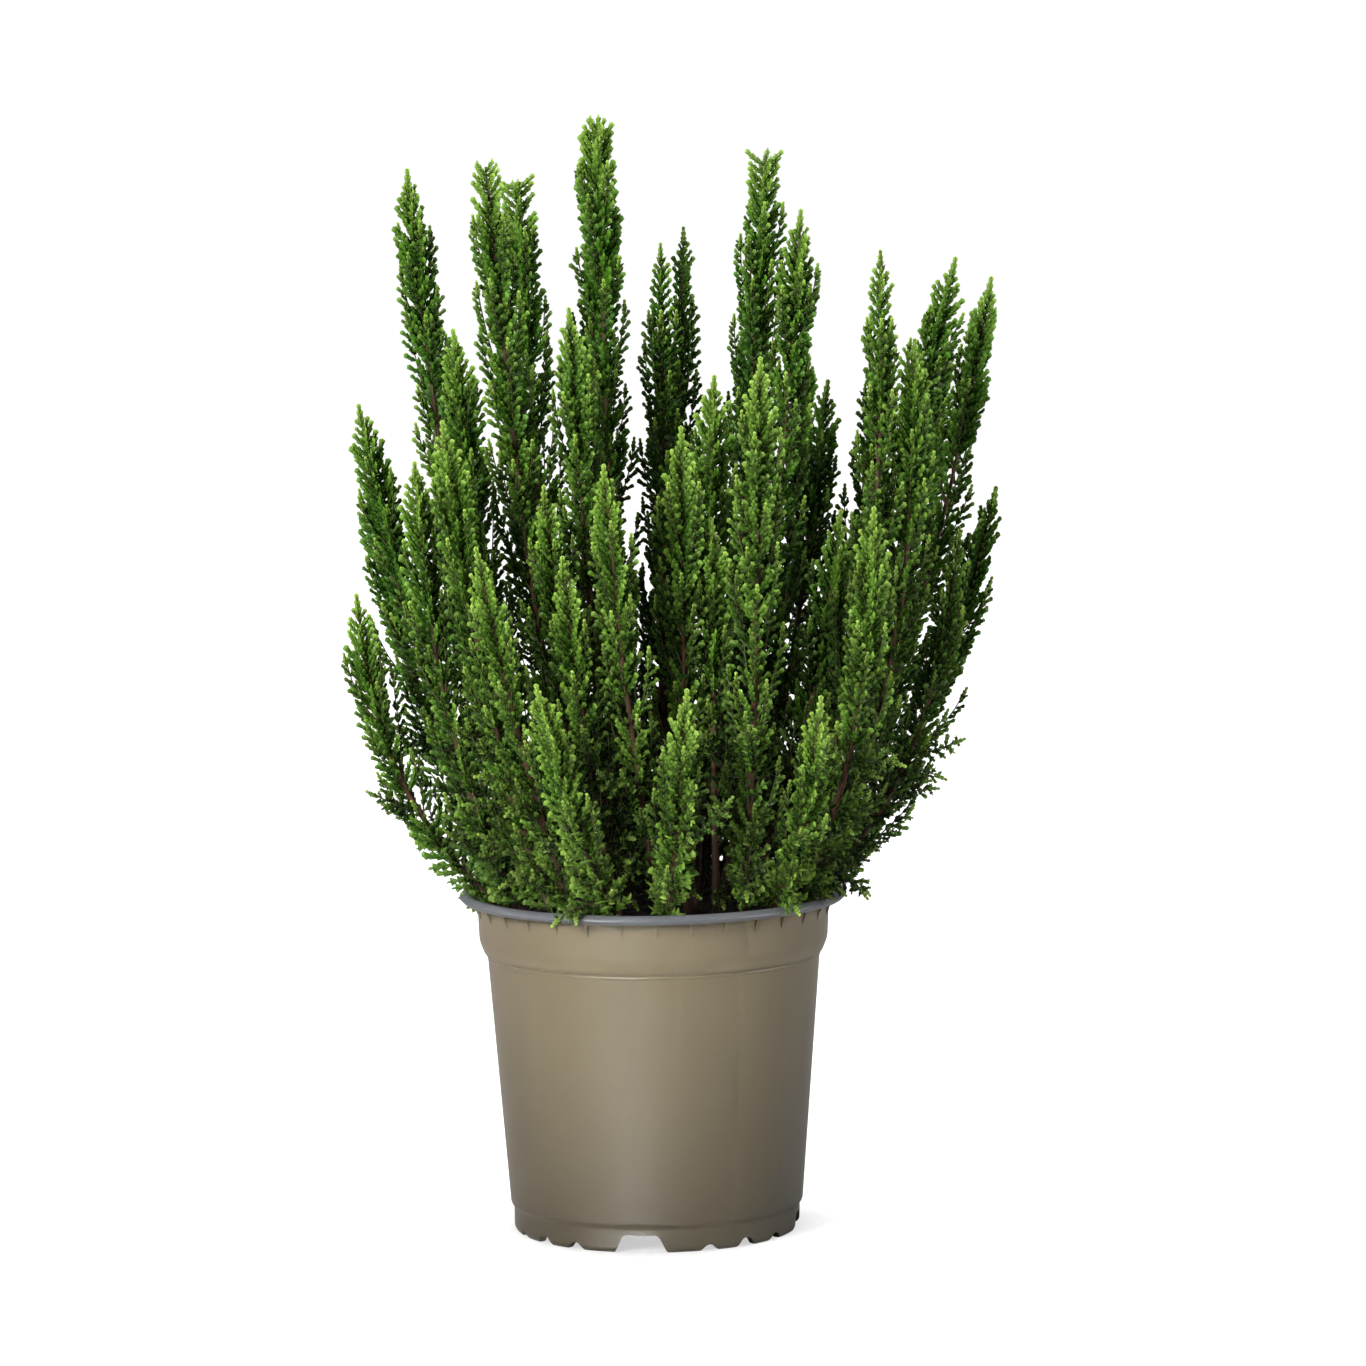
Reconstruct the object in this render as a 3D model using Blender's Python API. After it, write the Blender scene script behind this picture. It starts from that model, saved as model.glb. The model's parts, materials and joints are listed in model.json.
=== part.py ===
"""Potted heather: a round plastic nursery pot, its soil and a bush of upright leafy stems.

Metres, +Z up. The origin is on the floor, on the pot's axis. One object for each physical piece.
"""

import math
import random

import bmesh
import bpy
import numpy as np

MM = 0.001

# The pot, outside sizes first
RIM_R = 75.0 * MM
RIM_TOP = 132.4 * MM
RIM_LOW = 127.2 * MM
RIM_INNER_R = 70.6 * MM
RIM_ROLL = 1.6 * MM
RIM_CROWN = 2.6 * MM
COLLAR_TOP_R = 68.0 * MM
COLLAR_R = 67.3 * MM
COLLAR_Z = 112.0 * MM
COLLAR_ROUND = 1.0 * MM
COLLAR_ROUND_HEIGHT = 2.6 * MM
BODY_TOP_R = 64.2 * MM
BODY_TOP_Z = 107.0 * MM
BODY_LOW_R = 56.6 * MM
BODY_LOW_Z = 11.0 * MM
FOOT_R = 55.4 * MM
FOOT_STEP_Z = 9.2 * MM
FOOT_LOW_R = 54.4 * MM
FOOT_ROUND_HEIGHT = 1.6 * MM
FLOOR_UNDER_Z = 8.0 * MM
WALL = 1.6 * MM
FOOT_WALL = 2.6 * MM
POT_SIDES = 48

# Notches round the foot, as (angle from a wide notch, width at the floor, width at the top, height)
CUT_PAST = 1.0 * MM
NOTCH_UPRIGHT = 0.4 * MM
POT_TURN = math.radians(3.6)
FRONT = math.radians(-90)
NOTCHES = (
    (0, 20.4 * MM, 13.6 * MM, 6.8 * MM),
    (28, 7.5 * MM, 2.7 * MM, 3.0 * MM),
    (45, 8.5 * MM, 4.0 * MM, 3.5 * MM),
    (62, 7.5 * MM, 2.7 * MM, 2.5 * MM),
)
QUARTERS = 4

DRAINS = 8
DRAIN_RING_R = 38.0 * MM
DRAIN_R = 4.0 * MM
DRAIN_SIDES = 8

# The soil
GAP = 0.3 * MM
SOIL_EDGE_Z = 121.5 * MM
SOIL_RISE = 3.5 * MM
SOIL_SIDES = 24
HOLE_DEPTH = 11.0 * MM
HOLE_R = 2.6 * MM
HOLE_SIDES = 6

# The leafy stems
STEM_R = 1.9 * MM
STEM_TIP_R = 1.2 * MM
ROOT_R = 1.9 * MM
STEM_FOOT_CLEAR = 9.0 * MM
STEM_PROUD = 0.4 * MM
TRIPLE = math.radians(120)

# The side twigs: their spacing along the stem, closer near its tip, and how far out they reach
TWIG_STEP = 8.8 * MM
TIP_STEP_SHARE = 0.8
TIP_STRETCH = 60.0 * MM
BARE_TIP = 7.0 * MM
NIPPED_TIP = 2.0 * MM
TWIG_REACH_TIP = 2.6 * MM
TWIG_REACH_LOW = 10.5 * MM
REACH_GROWS_OVER = 75.0 * MM
REACH_CURVE = 0.7
NIPPED_HEAD = 30.0 * MM
REACH_SPREAD = (0.88, 1.06)
RISE_SPREAD = (0.75, 1.0)
SWING_SPREAD = (-0.18, 0.18)
TWIG_HALF_WIDTH = 2.2 * MM
CLEARANCE = 0.8 * MM
SHRINKS = (1.0, 0.85, 0.7, 0.55, 0.4)
TWIG_SAMPLES = (0.2, 0.4, 0.6, 0.8, 1.0)
SEED = 11

# The bush is turned this far round in its pot
PLANT_TURN = math.radians(10)

# Each stem in mm, x to the right, y away and z up: foot x, y, tip x, y, z, then its bow.
# The bow is 0 for a straight stem and 1 for one that leans out low down and then stands upright.
FRONT_STEMS = (
    (-11, -56, -42, -90, 222, 0.3),
    (5, -56, 14, -85, 219, 0.2),
    (-28, -47, -64, -75, 272, 0.2),
    (4, -42, -16, -70, 302, 0.3),
    (34, -45, 43, -65, 341, 0.5),
    (43, -34, 64, -78, 215, 0.6),
    (50, -22, 85, -60, 284, 0.8),
    (42, -12, 89, -35, 379, 1.0),
    (54, -11, 102, -30, 345, 0.9),
    (56, 1, 119, -10, 272, 0.7),
    (-11, -41, -32, -62, 267, 0.3),
    (-22, -31, -39, -40, 292, 0.2),
    (13, -29, 13, -45, 314, 0.3),
    (24, -34, 24, -42, 279, 0.2),
    (-37, -30, -77, -42, 317, 0.4),
    (-47, -19, -88, -32, 301, 0.7),
    (-55, -6, -112, -12, 249, 0.75),
)
MIDDLE_STEMS = (
    (-53, 8, -111, 12, 320, 0.3),
    (-37, -7, -74, 3, 349, 0.4),
    (-39, 6, -91, 17, 410, 0.5),
    (-25, -14, -60, -15, 414, 0.3),
    (-12, -15, -29, -22, 358, 0.3),
    (-9, 2, -18, 15, 431, 0.3),
    (16, -12, 26, -12, 331, 0.3),
    (33, -3, 74, -2, 278, 0.5),
    (26, 9, 60, 6, 393, 0.4),
    (44, 4, 133, 12, 366, 0.5),
    (55, 13, 135, 26, 284, 0.5),
    (41, 16, 120, 27, 373, 0.2),
    (5, 13, 6, 25, 380, 0.3),
    (17, 22, 47, 20, 416, 0.4),
    (-22, 19, -50, 36, 406, 0.4),
    (6, 32, 15, 52, 385, 0.3),
    (31, 27, 71, 60, 324, 0.4),
)
BACK_STEMS = (
    (-38, 21, -84, 66, 357, 0.5),
    (-27, 36, -55, 76, 348, 0.4),
    (-11, 39, -21, 62, 372, 0.4),
    (-1, 50, 8, 92, 343, 0.5),
    (18, 36, 44, 66, 362, 0.4),
    (29, 39, 63, 87, 340, 0.5),
    (44, 30, 93, 56, 342, 0.6),
    (51, 23, 118, 66, 341, 0.6),
    (-50, 24, -112, 92, 284, 0.5),
    (-40, 38, -79, 98, 275, 0.6),
    (-16, 54, -15, 100, 257, 0.7),
    (10, 56, 40, 91, 255, 0.7),
    (23, 51, 84, 83, 265, 0.6),
    (39, 40, 108, 77, 240, 0.2),
)
STEMS = FRONT_STEMS + MIDDLE_STEMS + BACK_STEMS
# The stems whose tip has been nipped off, so that they end in a flat spread of twigs
NIPPED_TIPS = ((-60, -15), (47, 20), (-18, 15), (-50, 36))


def clear_scene():
    for thing in list(bpy.data.objects):
        bpy.data.objects.remove(thing, do_unlink=True)


def finish(name, color, roughness):
    """A plain material in linear colour."""
    material = bpy.data.materials.new(name)
    material.use_nodes = True
    shader = material.node_tree.nodes["Principled BSDF"]
    shader.inputs["Base Color"].default_value = (*color, 1)
    shader.inputs["Roughness"].default_value = roughness
    shader.inputs["Metallic"].default_value = 0
    material.diffuse_color = (*color, 1)
    return material


def solid(name, points, faces, material=None):
    """An object from points and faces, with its faces turned outwards."""
    mesh = bpy.data.meshes.new(name)
    mesh.from_pydata([tuple(point) for point in points], [], faces)
    shape = bmesh.new()
    shape.from_mesh(mesh)
    bmesh.ops.recalc_face_normals(shape, faces=shape.faces)
    shape.to_mesh(mesh)
    shape.free()
    thing = bpy.data.objects.new(name, mesh)
    bpy.context.scene.collection.objects.link(thing)
    if material:
        mesh.materials.append(material)
    return thing


def on_circle(radius, angle, z):
    return np.array((radius * math.cos(angle), radius * math.sin(angle), z))


def turned(name, profile, sides, material):
    """A closed body turned about Z from a profile whose first and last points are on the axis."""
    points, faces = [np.array((0, 0, profile[0][1]))], []
    for radius, z in profile[1:-1]:
        points += [on_circle(radius, math.tau * side / sides, z) for side in range(sides)]
    points.append(np.array((0, 0, profile[-1][1])))
    last_ring = 1 + (len(profile) - 3) * sides
    for side in range(sides):
        after = (side + 1) % sides
        faces.append((0, 1 + side, 1 + after))
        faces.append((len(points) - 1, last_ring + after, last_ring + side))
        for ring in range(1, last_ring, sides):
            faces.append((ring + side, ring + sides + side, ring + sides + after, ring + after))
    return solid(name, points, faces, material)


def prism(name, outline, low, high):
    """A straight prism from two matching loops of points, one at each end."""
    count = len(outline)
    points = [low(corner) for corner in outline] + [high(corner) for corner in outline]
    faces = [tuple(range(count)), tuple(range(count, 2 * count))]
    for corner in range(count):
        after = (corner + 1) % count
        faces.append((corner, after, count + after, count + corner))
    return solid(name, points, faces)


def cut_away(body, cutters, label):
    """Cuts the cutters from the body and removes them."""
    group = bpy.data.collections.new(label)
    bpy.context.scene.collection.children.link(group)
    for cutter in cutters:
        bpy.context.scene.collection.objects.unlink(cutter)
        group.objects.link(cutter)
        cutter.hide_render = True
        cutter.display_type = "WIRE"
    cut = body.modifiers.new(label, "BOOLEAN")
    cut.operation = "DIFFERENCE"
    cut.operand_type = "COLLECTION"
    cut.collection = group
    bpy.context.view_layer.update()
    made = bpy.data.meshes.new_from_object(body.evaluated_get(bpy.context.evaluated_depsgraph_get()))
    body.modifiers.remove(cut)
    body.data = made
    for cutter in cutters:
        bpy.data.objects.remove(cutter, do_unlink=True)
    bpy.data.collections.remove(group)


def inner_wall_r(z):
    """The radius of the pot's inner face, below the rim."""
    share = (z - BODY_LOW_Z) / (BODY_TOP_Z - BODY_LOW_Z)
    body = BODY_LOW_R + share * (BODY_TOP_R - BODY_LOW_R) - WALL
    if z <= BODY_TOP_Z:
        return body
    share = min((z - BODY_TOP_Z) / (COLLAR_Z - BODY_TOP_Z), 1)
    return body * (1 - share) + (COLLAR_R - WALL) * share


def pot_profile():
    floor_top = FLOOR_UNDER_Z + WALL
    return (
        (0, FLOOR_UNDER_Z),
        (FOOT_LOW_R - FOOT_WALL, FLOOR_UNDER_Z),
        (FOOT_LOW_R - FOOT_WALL, 0),
        (FOOT_LOW_R, 0),
        (FOOT_R, FOOT_ROUND_HEIGHT),
        (FOOT_R, FOOT_STEP_Z),
        (BODY_LOW_R, BODY_LOW_Z),
        (BODY_TOP_R, BODY_TOP_Z),
        (COLLAR_R - COLLAR_ROUND, COLLAR_Z - COLLAR_ROUND_HEIGHT),
        (COLLAR_R, COLLAR_Z),
        (COLLAR_TOP_R, RIM_LOW),
        (RIM_R - RIM_ROLL, RIM_LOW),
        (RIM_R, RIM_LOW + RIM_ROLL),
        (RIM_R - RIM_CROWN / 4, RIM_TOP - RIM_CROWN / 2),
        (RIM_R - RIM_CROWN, RIM_TOP),
        (RIM_INNER_R, RIM_TOP - RIM_CROWN / 4),
        (COLLAR_TOP_R - WALL, RIM_LOW),
        (inner_wall_r(COLLAR_Z), COLLAR_Z),
        (inner_wall_r(BODY_TOP_Z), BODY_TOP_Z),
        (inner_wall_r(floor_top), floor_top),
        (0, floor_top),
    )


def foot_notches():
    """Tapered cutters through the foot ring, wide side down."""
    inner, outer = FOOT_LOW_R - 2 * FOOT_WALL, FOOT_R + CUT_PAST
    cutters = []
    for quarter in range(QUARTERS):
        for degrees, wide, narrow, height in NOTCHES:
            angle = FRONT + POT_TURN + quarter * math.tau / QUARTERS - math.radians(degrees)
            out, along = on_circle(1, angle, 0), on_circle(1, angle + math.pi / 2, 0)
            outline = (
                (-wide / 2, -CUT_PAST),
                (wide / 2, -CUT_PAST),
                (wide / 2, NOTCH_UPRIGHT),
                (narrow / 2, height),
                (-narrow / 2, height),
                (-wide / 2, NOTCH_UPRIGHT),
            )

            def at(radius, out=out, along=along):
                return lambda corner: out * radius + along * corner[0] + np.array((0, 0, corner[1]))

            cutters.append(prism("notch", outline, at(inner), at(outer)))
    return cutters


def round_cutter(name, x, y, radius, sides, low, high, turn=0.0):
    outline = [on_circle(radius, turn + math.tau * side / sides, 0) for side in range(sides)]
    centre = np.array((x, y, 0))

    def at(z):
        return lambda corner: centre + corner + np.array((0, 0, z))

    return prism(name, outline, at(low), at(high))


def drain_holes():
    cutters = []
    for hole in range(DRAINS):
        x, y, _ = on_circle(DRAIN_RING_R, POT_TURN + math.tau * (hole + 0.5) / DRAINS, 0)
        low, high = FLOOR_UNDER_Z - CUT_PAST, FLOOR_UNDER_Z + WALL + CUT_PAST
        cutters.append(round_cutter("drain", x, y, DRAIN_R, DRAIN_SIDES, low, high))
    return cutters


def make_pot():
    pot = turned("pot", pot_profile(), POT_SIDES, finish("pot_plastic", (0.25, 0.21, 0.15), 0.45))
    cut_away(pot, foot_notches() + drain_holes(), "pot_cuts")
    return pot


def soil_height(radius):
    """The soil's surface: a low mound."""
    return SOIL_EDGE_Z + SOIL_RISE * (1 - (radius / RIM_INNER_R) ** 2)


def stem_feet():
    return [turn_plant(np.array((row[0], row[1], 0)) * MM) for row in STEMS]


def make_soil():
    floor = FLOOR_UNDER_Z + WALL + GAP
    edge_r = inner_wall_r(SOIL_EDGE_Z) - GAP
    profile = (
        (0, floor),
        (inner_wall_r(floor) - GAP, floor),
        (inner_wall_r(BODY_TOP_Z) - GAP, BODY_TOP_Z),
        (inner_wall_r(COLLAR_Z) - GAP, COLLAR_Z),
        (edge_r, soil_height(edge_r)),
        (0.6 * edge_r, soil_height(0.6 * edge_r)),
        (0, soil_height(0)),
    )
    soil = turned("soil", profile, SOIL_SIDES, finish("soil", (0.012, 0.009, 0.006), 0.95))
    cutters = []
    for x, y, _ in stem_feet():
        low = soil_height(math.hypot(x, y)) - HOLE_DEPTH
        cutters.append(round_cutter("hole", x, y, HOLE_R, HOLE_SIDES, low, RIM_TOP))
    cut_away(soil, cutters, "stem_holes")
    return soil


def turn_plant(point):
    c, s = math.cos(PLANT_TURN), math.sin(PLANT_TURN)
    return np.array((point[0] * c - point[1] * s, point[0] * s + point[1] * c, point[2]))


class Stem:
    """The middle line of one leafy stem, from the soil's surface to its tip."""

    SAMPLES = 80

    def __init__(self, row):
        foot, tip = np.array((row[0], row[1], 0)) * MM, np.array(row[2:5]) * MM
        self.nipped = (row[2], row[3]) in NIPPED_TIPS
        foot, tip = turn_plant(foot), turn_plant(tip)
        foot[2] = soil_height(math.hypot(foot[0], foot[1]))
        lean = (tip - foot) * (1, 1, 0)
        rise = (tip - foot) * (0, 0, 1)
        low = foot + lean * (1 / 3 + row[5] * 2 / 3) + rise / 3
        high = foot + lean * (2 / 3 + row[5] / 3) + rise * 2 / 3
        t = np.linspace(0, 1, self.SAMPLES)[:, None]
        self.line = (
            foot * (1 - t) ** 3 + low * 3 * t * (1 - t) ** 2 + high * 3 * t**2 * (1 - t) + tip * t**3
        )
        steps = np.linalg.norm(np.diff(self.line, axis=0), axis=1)
        self.along = np.concatenate(((0,), np.cumsum(steps)))
        self.length = self.along[-1]

    def at(self, distance):
        return np.array([np.interp(distance, self.along, self.line[:, axis]) for axis in range(3)])

    def heading(self, distance):
        ahead = self.at(min(distance + MM, self.length)) - self.at(max(distance - MM, 0))
        return ahead / np.linalg.norm(ahead)

    def radius(self, distance):
        share = distance / self.length
        return STEM_R + share * (STEM_TIP_R - STEM_R)

    def sideways(self, distance, angle):
        """The unit vector square to the stem that points to this angle round it."""
        heading = self.heading(distance)
        first = np.cross(heading, (0, 1, 0))
        first /= np.linalg.norm(first)
        return first * math.cos(angle) + np.cross(heading, first) * math.sin(angle)


def distance_to(line, point):
    """How far a point is from a line of points."""
    start, run = line[:-1], np.diff(line, axis=0)
    share = np.clip(((point - start) * run).sum(axis=1) / (run**2).sum(axis=1), 0, 1)
    return np.linalg.norm(start + run * share[:, None] - point, axis=1).min()


def clear_of_pot(point):
    radius = math.hypot(point[0], point[1])
    if point[2] < soil_height(min(radius, RIM_INNER_R)) + 1.0 * MM:
        return False
    return point[2] > RIM_TOP + 2 * CLEARANCE or radius < COLLAR_TOP_R - WALL - TWIG_HALF_WIDTH


def nearest_others(stem, stems):
    """The stems whose lines come near this one, as arrays of points."""
    reach = 2 * TWIG_REACH_LOW + 8 * MM
    lines = []
    for other in stems:
        if other is stem:
            continue
        gaps = np.linalg.norm(stem.line[:, None] - other.line[None], axis=2)
        if gaps.min() < reach:
            lines.append(other.line)
    return lines


def twig_tip(stem, base, goal, others):
    """The goal, drawn back towards the base until the twig is clear of the pot and the other stems."""
    for share in SHRINKS:
        tip = base + (goal - base) * share
        own = distance_to(stem.line, tip)
        if any(distance_to(line, tip) < own + CLEARANCE for line in others):
            continue
        if all(clear_of_pot(base + (tip - base) * part) for part in TWIG_SAMPLES):
            return tip
    return None


def ring_places(stem):
    """Distances along the stem of its rings, closer together near the tip."""
    places, here = [], STEM_FOOT_CLEAR
    top = stem.length - (NIPPED_TIP if stem.nipped else BARE_TIP)
    while here < top - TIP_STEP_SHARE * TWIG_STEP:
        places.append(here)
        here += TWIG_STEP * (1 if stem.length - here > TIP_STRETCH else TIP_STEP_SHARE)
    places.append(top)
    return places


def twig_reach(stem, distance):
    below = stem.length - distance + (NIPPED_HEAD if stem.nipped else 0)
    share = min(below / REACH_GROWS_OVER, 1) ** REACH_CURVE
    return TWIG_REACH_TIP + (TWIG_REACH_LOW - TWIG_REACH_TIP) * share


def make_leafy_stem(name, stem, stems, material, draw):
    """A slim three-sided core whose upright triangles are each raised into one side twig."""
    others = nearest_others(stem, stems)
    points, faces = [], []
    foot = stem.line[0]
    turn = draw.uniform(0, TRIPLE)

    def add_ring(centre, radius, sideways):
        first = len(points)
        points.extend(centre + radius * sideways(turn + TRIPLE * side) for side in range(3))
        return first

    def upright(angle):
        return np.array((math.cos(angle), math.sin(angle), 0))

    low = foot - np.array((0, 0, HOLE_DEPTH - GAP))
    bottom = add_ring(low, ROOT_R, upright)
    faces.append((bottom, bottom + 1, bottom + 2))
    rings = [bottom, add_ring(foot + np.array((0, 0, STEM_PROUD)), ROOT_R, upright)]
    for side in range(3):
        after = (side + 1) % 3
        faces.append((rings[0] + side, rings[0] + after, rings[1] + after, rings[1] + side))

    below, lower = rings[1], STEM_PROUD
    for place in ring_places(stem):
        turn += TRIPLE / 2

        def square_to_stem(angle, place=place):
            return stem.sideways(place, angle)

        here = add_ring(stem.at(place), stem.radius(place), square_to_stem)
        for side in range(3):
            after = (side + 1) % 3
            faces.append((here + side, below + after, here + after))
            base = (below + side, below + after, here + side)
            grow_twig(stem, points, faces, base, lower, place, others, draw)
        below, lower = here, place

    top = len(points)
    points.append(stem.at(stem.length))
    faces.extend((below + side, below + (side + 1) % 3, top) for side in range(3))
    return solid(name, points, faces, material)


def grow_twig(stem, points, faces, base, lower, upper, others, draw):
    """Raises one upright triangle of the core into a three-sided twig, where there is room."""
    corners = [points[index] for index in base]
    middle = sum(corners) / 3
    place = (2 * lower + upper) / 3
    centre, heading = stem.at(place), stem.heading(place)
    out = middle - centre
    out -= heading * (out @ heading)
    out /= np.linalg.norm(out)
    reach = twig_reach(stem, place) * draw.uniform(*REACH_SPREAD)
    rise = reach * draw.uniform(*RISE_SPREAD)
    swing = reach * draw.uniform(*SWING_SPREAD)
    goal = centre + out * reach + heading * rise + np.cross(heading, out) * swing
    tip = None
    if lower >= STEM_FOOT_CLEAR:
        tip = twig_tip(stem, middle, goal, others)
    if tip is None:
        faces.append(base)
        return
    apex = len(points)
    points.append(tip)
    faces.extend((base[corner], base[(corner + 1) % 3], apex) for corner in range(3))


def make_stems():
    material = finish("heather_leaf", (0.075, 0.14, 0.022), 0.6)
    stems = [Stem(row) for row in STEMS]
    for number, stem in enumerate(stems, start=1):
        draw = random.Random(SEED + number)
        make_leafy_stem(f"leafy_stem_{number:02d}", stem, stems, material, draw)


def main():
    clear_scene()
    make_pot()
    make_soil()
    make_stems()


if __name__ == "__main__":
    main()
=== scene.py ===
"""Looks of the potted heather: its leafy stems, soil and pot, and a plain studio round them."""

import json
import math
import random

import bmesh
import bpy
import numpy as np
from mathutils import Matrix, Vector, noise
from mathutils.bvhtree import BVHTree

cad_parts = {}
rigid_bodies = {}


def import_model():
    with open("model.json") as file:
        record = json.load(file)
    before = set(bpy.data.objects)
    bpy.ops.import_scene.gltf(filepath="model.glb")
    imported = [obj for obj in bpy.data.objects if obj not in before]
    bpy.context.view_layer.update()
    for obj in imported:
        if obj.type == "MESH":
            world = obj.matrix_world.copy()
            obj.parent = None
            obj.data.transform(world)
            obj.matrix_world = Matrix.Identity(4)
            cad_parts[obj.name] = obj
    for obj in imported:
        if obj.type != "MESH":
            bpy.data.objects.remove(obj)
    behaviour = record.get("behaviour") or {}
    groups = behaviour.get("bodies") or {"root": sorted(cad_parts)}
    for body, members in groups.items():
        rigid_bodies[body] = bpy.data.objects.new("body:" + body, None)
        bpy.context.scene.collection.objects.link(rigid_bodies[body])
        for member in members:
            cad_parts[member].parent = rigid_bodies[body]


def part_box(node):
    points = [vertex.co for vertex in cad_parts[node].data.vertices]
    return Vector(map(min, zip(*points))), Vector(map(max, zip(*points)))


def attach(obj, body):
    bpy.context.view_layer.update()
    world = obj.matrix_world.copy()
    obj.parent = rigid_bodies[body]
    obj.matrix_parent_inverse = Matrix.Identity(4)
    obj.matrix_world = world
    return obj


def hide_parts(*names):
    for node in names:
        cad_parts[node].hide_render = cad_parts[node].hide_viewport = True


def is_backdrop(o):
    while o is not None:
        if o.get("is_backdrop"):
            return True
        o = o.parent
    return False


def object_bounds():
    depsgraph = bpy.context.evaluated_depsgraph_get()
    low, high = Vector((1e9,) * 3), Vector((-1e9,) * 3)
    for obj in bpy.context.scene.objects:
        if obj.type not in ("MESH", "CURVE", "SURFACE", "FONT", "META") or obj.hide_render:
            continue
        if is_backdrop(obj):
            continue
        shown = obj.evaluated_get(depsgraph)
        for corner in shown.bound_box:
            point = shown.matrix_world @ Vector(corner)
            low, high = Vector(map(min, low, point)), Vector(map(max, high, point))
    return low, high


bl_info = {
    "name": "Potted heather",
    "version": (1, 0, 0),
    "blender": (4, 5, 0),
    "location": "3D View > Sidebar > Heather",
    "description": "Dresses the packed heather in leaves, soil, plastic and studio light",
    "category": "Object",
}

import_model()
CAD_LOW, CAD_HIGH = (np.array(corner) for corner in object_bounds())

MM = 0.001
SAME_POINT = 0.001 * MM
BODY = "root"

# The pot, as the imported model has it
RIM_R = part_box("pot")[1][0]
RIM_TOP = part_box("pot")[1][2]
RIM_LOW = RIM_TOP - 3.7 * MM
RIM_INNER_R = RIM_R - 4.4 * MM
COLLAR_TOP_R = 68.0 * MM
COLLAR_R = 67.3 * MM
COLLAR_Z = 112.0 * MM
BODY_TOP_R = 64.2 * MM
BODY_TOP_Z = 107.0 * MM
BODY_LOW_R = 56.6 * MM
BODY_LOW_Z = 11.0 * MM
FOOT_R = 55.4 * MM
FOOT_STEP_Z = 9.2 * MM
FOOT_LOW_R = 54.4 * MM
FLOOR_UNDER_Z = 8.0 * MM
WALL = 1.6 * MM
FOOT_WALL = 2.6 * MM
# The fine bead at the top of the body
BEAD_OUT = 0.3 * MM
# The ledge under the collar is painted paler, as light falling on it: how far above its middle, half its
# height, and how much
LEDGE_HIGHER = 1.0 * MM
LEDGE_HALF = 3.4 * MM
LEDGE_PAINTED_LIGHT = 0.3
POT_SIDES = 160
POT_TURN = math.radians(3.6)
FRONT = math.radians(-90)
# Notches round the foot, as (angle from a wide notch, width at the floor, width at the top, height)
NOTCHES = (
    (0, 20.4 * MM, 13.6 * MM, 6.8 * MM),
    (28, 7.5 * MM, 2.7 * MM, 3.0 * MM),
    (45, 8.5 * MM, 4.0 * MM, 3.5 * MM),
    (62, 7.5 * MM, 2.7 * MM, 2.5 * MM),
)
QUARTERS = 4
LOBE_ROUND = 1.5 * MM
# How far a cutter reaches past what it cuts
CUT_PAST = 1.0 * MM
DRAINS = 8
DRAIN_RING_R = 38.0 * MM
DRAIN_R = 4.0 * MM
DRAIN_SIDES = 24
GUSSETS = 32
# A gusset's outline under the rim, as (out, up) from the collar, half its thickness and how far it is sunk
GUSSET = tuple(
    (out * MM, up * MM) for out, up in ((-0.8, 0.2), (1.7, 0.2), (1.7, -0.9), (0, -5.6), (-0.8, -5.6))
)
GUSSET_HALF = 0.35 * MM
GUSSET_SUNK = 0.1 * MM
# Edges sharper than these angles, in degrees, stay sharp
POT_SHARP, SOIL_SHARP = 24, 50
# Grey plastic starts this far out from the collar's top, and above the rim's underside. Both are scuffed
GREY_OUT, GREY_UP = 1.2 * MM, 0.2 * MM
WALL_SCUFF, RIM_SCUFF = 0.35, 0.8

# The soil
SOIL_EDGE_Z = 121.5 * MM
SOIL_RISE = 3.5 * MM
SOIL_GAP = 0.3 * MM
SOIL_SIDES = 96
SOIL_RINGS = 26
# Lumps in its upper face, which is all that points up more than this
UPPER_FACE = 0.5
LUMP_SCALE = 160
LUMP_ROUGHNESS, LUMP_FINER, LUMP_OCTAVES = 0.6, 2.0, 4
LUMP_HEIGHT = 1.6
# Crumbs: how many kinds, their sizes and their seeds. The last kind is a fibre
CRUMB_KINDS = 4
CRUMB_SIZES = (0.9 * MM, 3.2 * MM)
CRUMB_SEED, CRUMB_SHAPE_SEED = 3, 40
CRUMB_LONGER, CRUMB_FLAT, CRUMB_ROUGH = (0.9, 1.3), 0.65, (0.75, 1.2)
FIBRE = (2.6, 0.35, 0.35)
SQUARE_CM_IN_SQUARE_M = 10000.0
# The stems are painted darker up to this height above the soil, as shade
PAINTED_SHADE_ABOVE_SOIL = 60 * MM

# The bush is turned this far round in its pot
PLANT_TURN = math.radians(10)

# Each stem in mm, x to the right, y away and z up: foot x, y, tip x, y, z, then its bow.
# The bow is 0 for a straight stem and 1 for one that leans out low down and then stands upright.
FRONT_STEMS = (
    (-11, -56, -42, -90, 222, 0.3), (5, -56, 14, -85, 219, 0.2), (-28, -47, -64, -75, 272, 0.2),
    (4, -42, -16, -70, 302, 0.3), (34, -45, 43, -65, 341, 0.5), (43, -34, 64, -78, 215, 0.6),
    (50, -22, 85, -60, 284, 0.8), (42, -12, 89, -35, 379, 1.0), (54, -11, 102, -30, 345, 0.9),
    (56, 1, 119, -10, 272, 0.7), (-11, -41, -32, -62, 267, 0.3), (-22, -31, -39, -40, 292, 0.2),
    (13, -29, 13, -45, 314, 0.3), (24, -34, 24, -42, 279, 0.2), (-37, -30, -77, -42, 317, 0.4),
    (-47, -19, -88, -32, 301, 0.7), (-55, -6, -112, -12, 249, 0.75),
)
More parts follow.
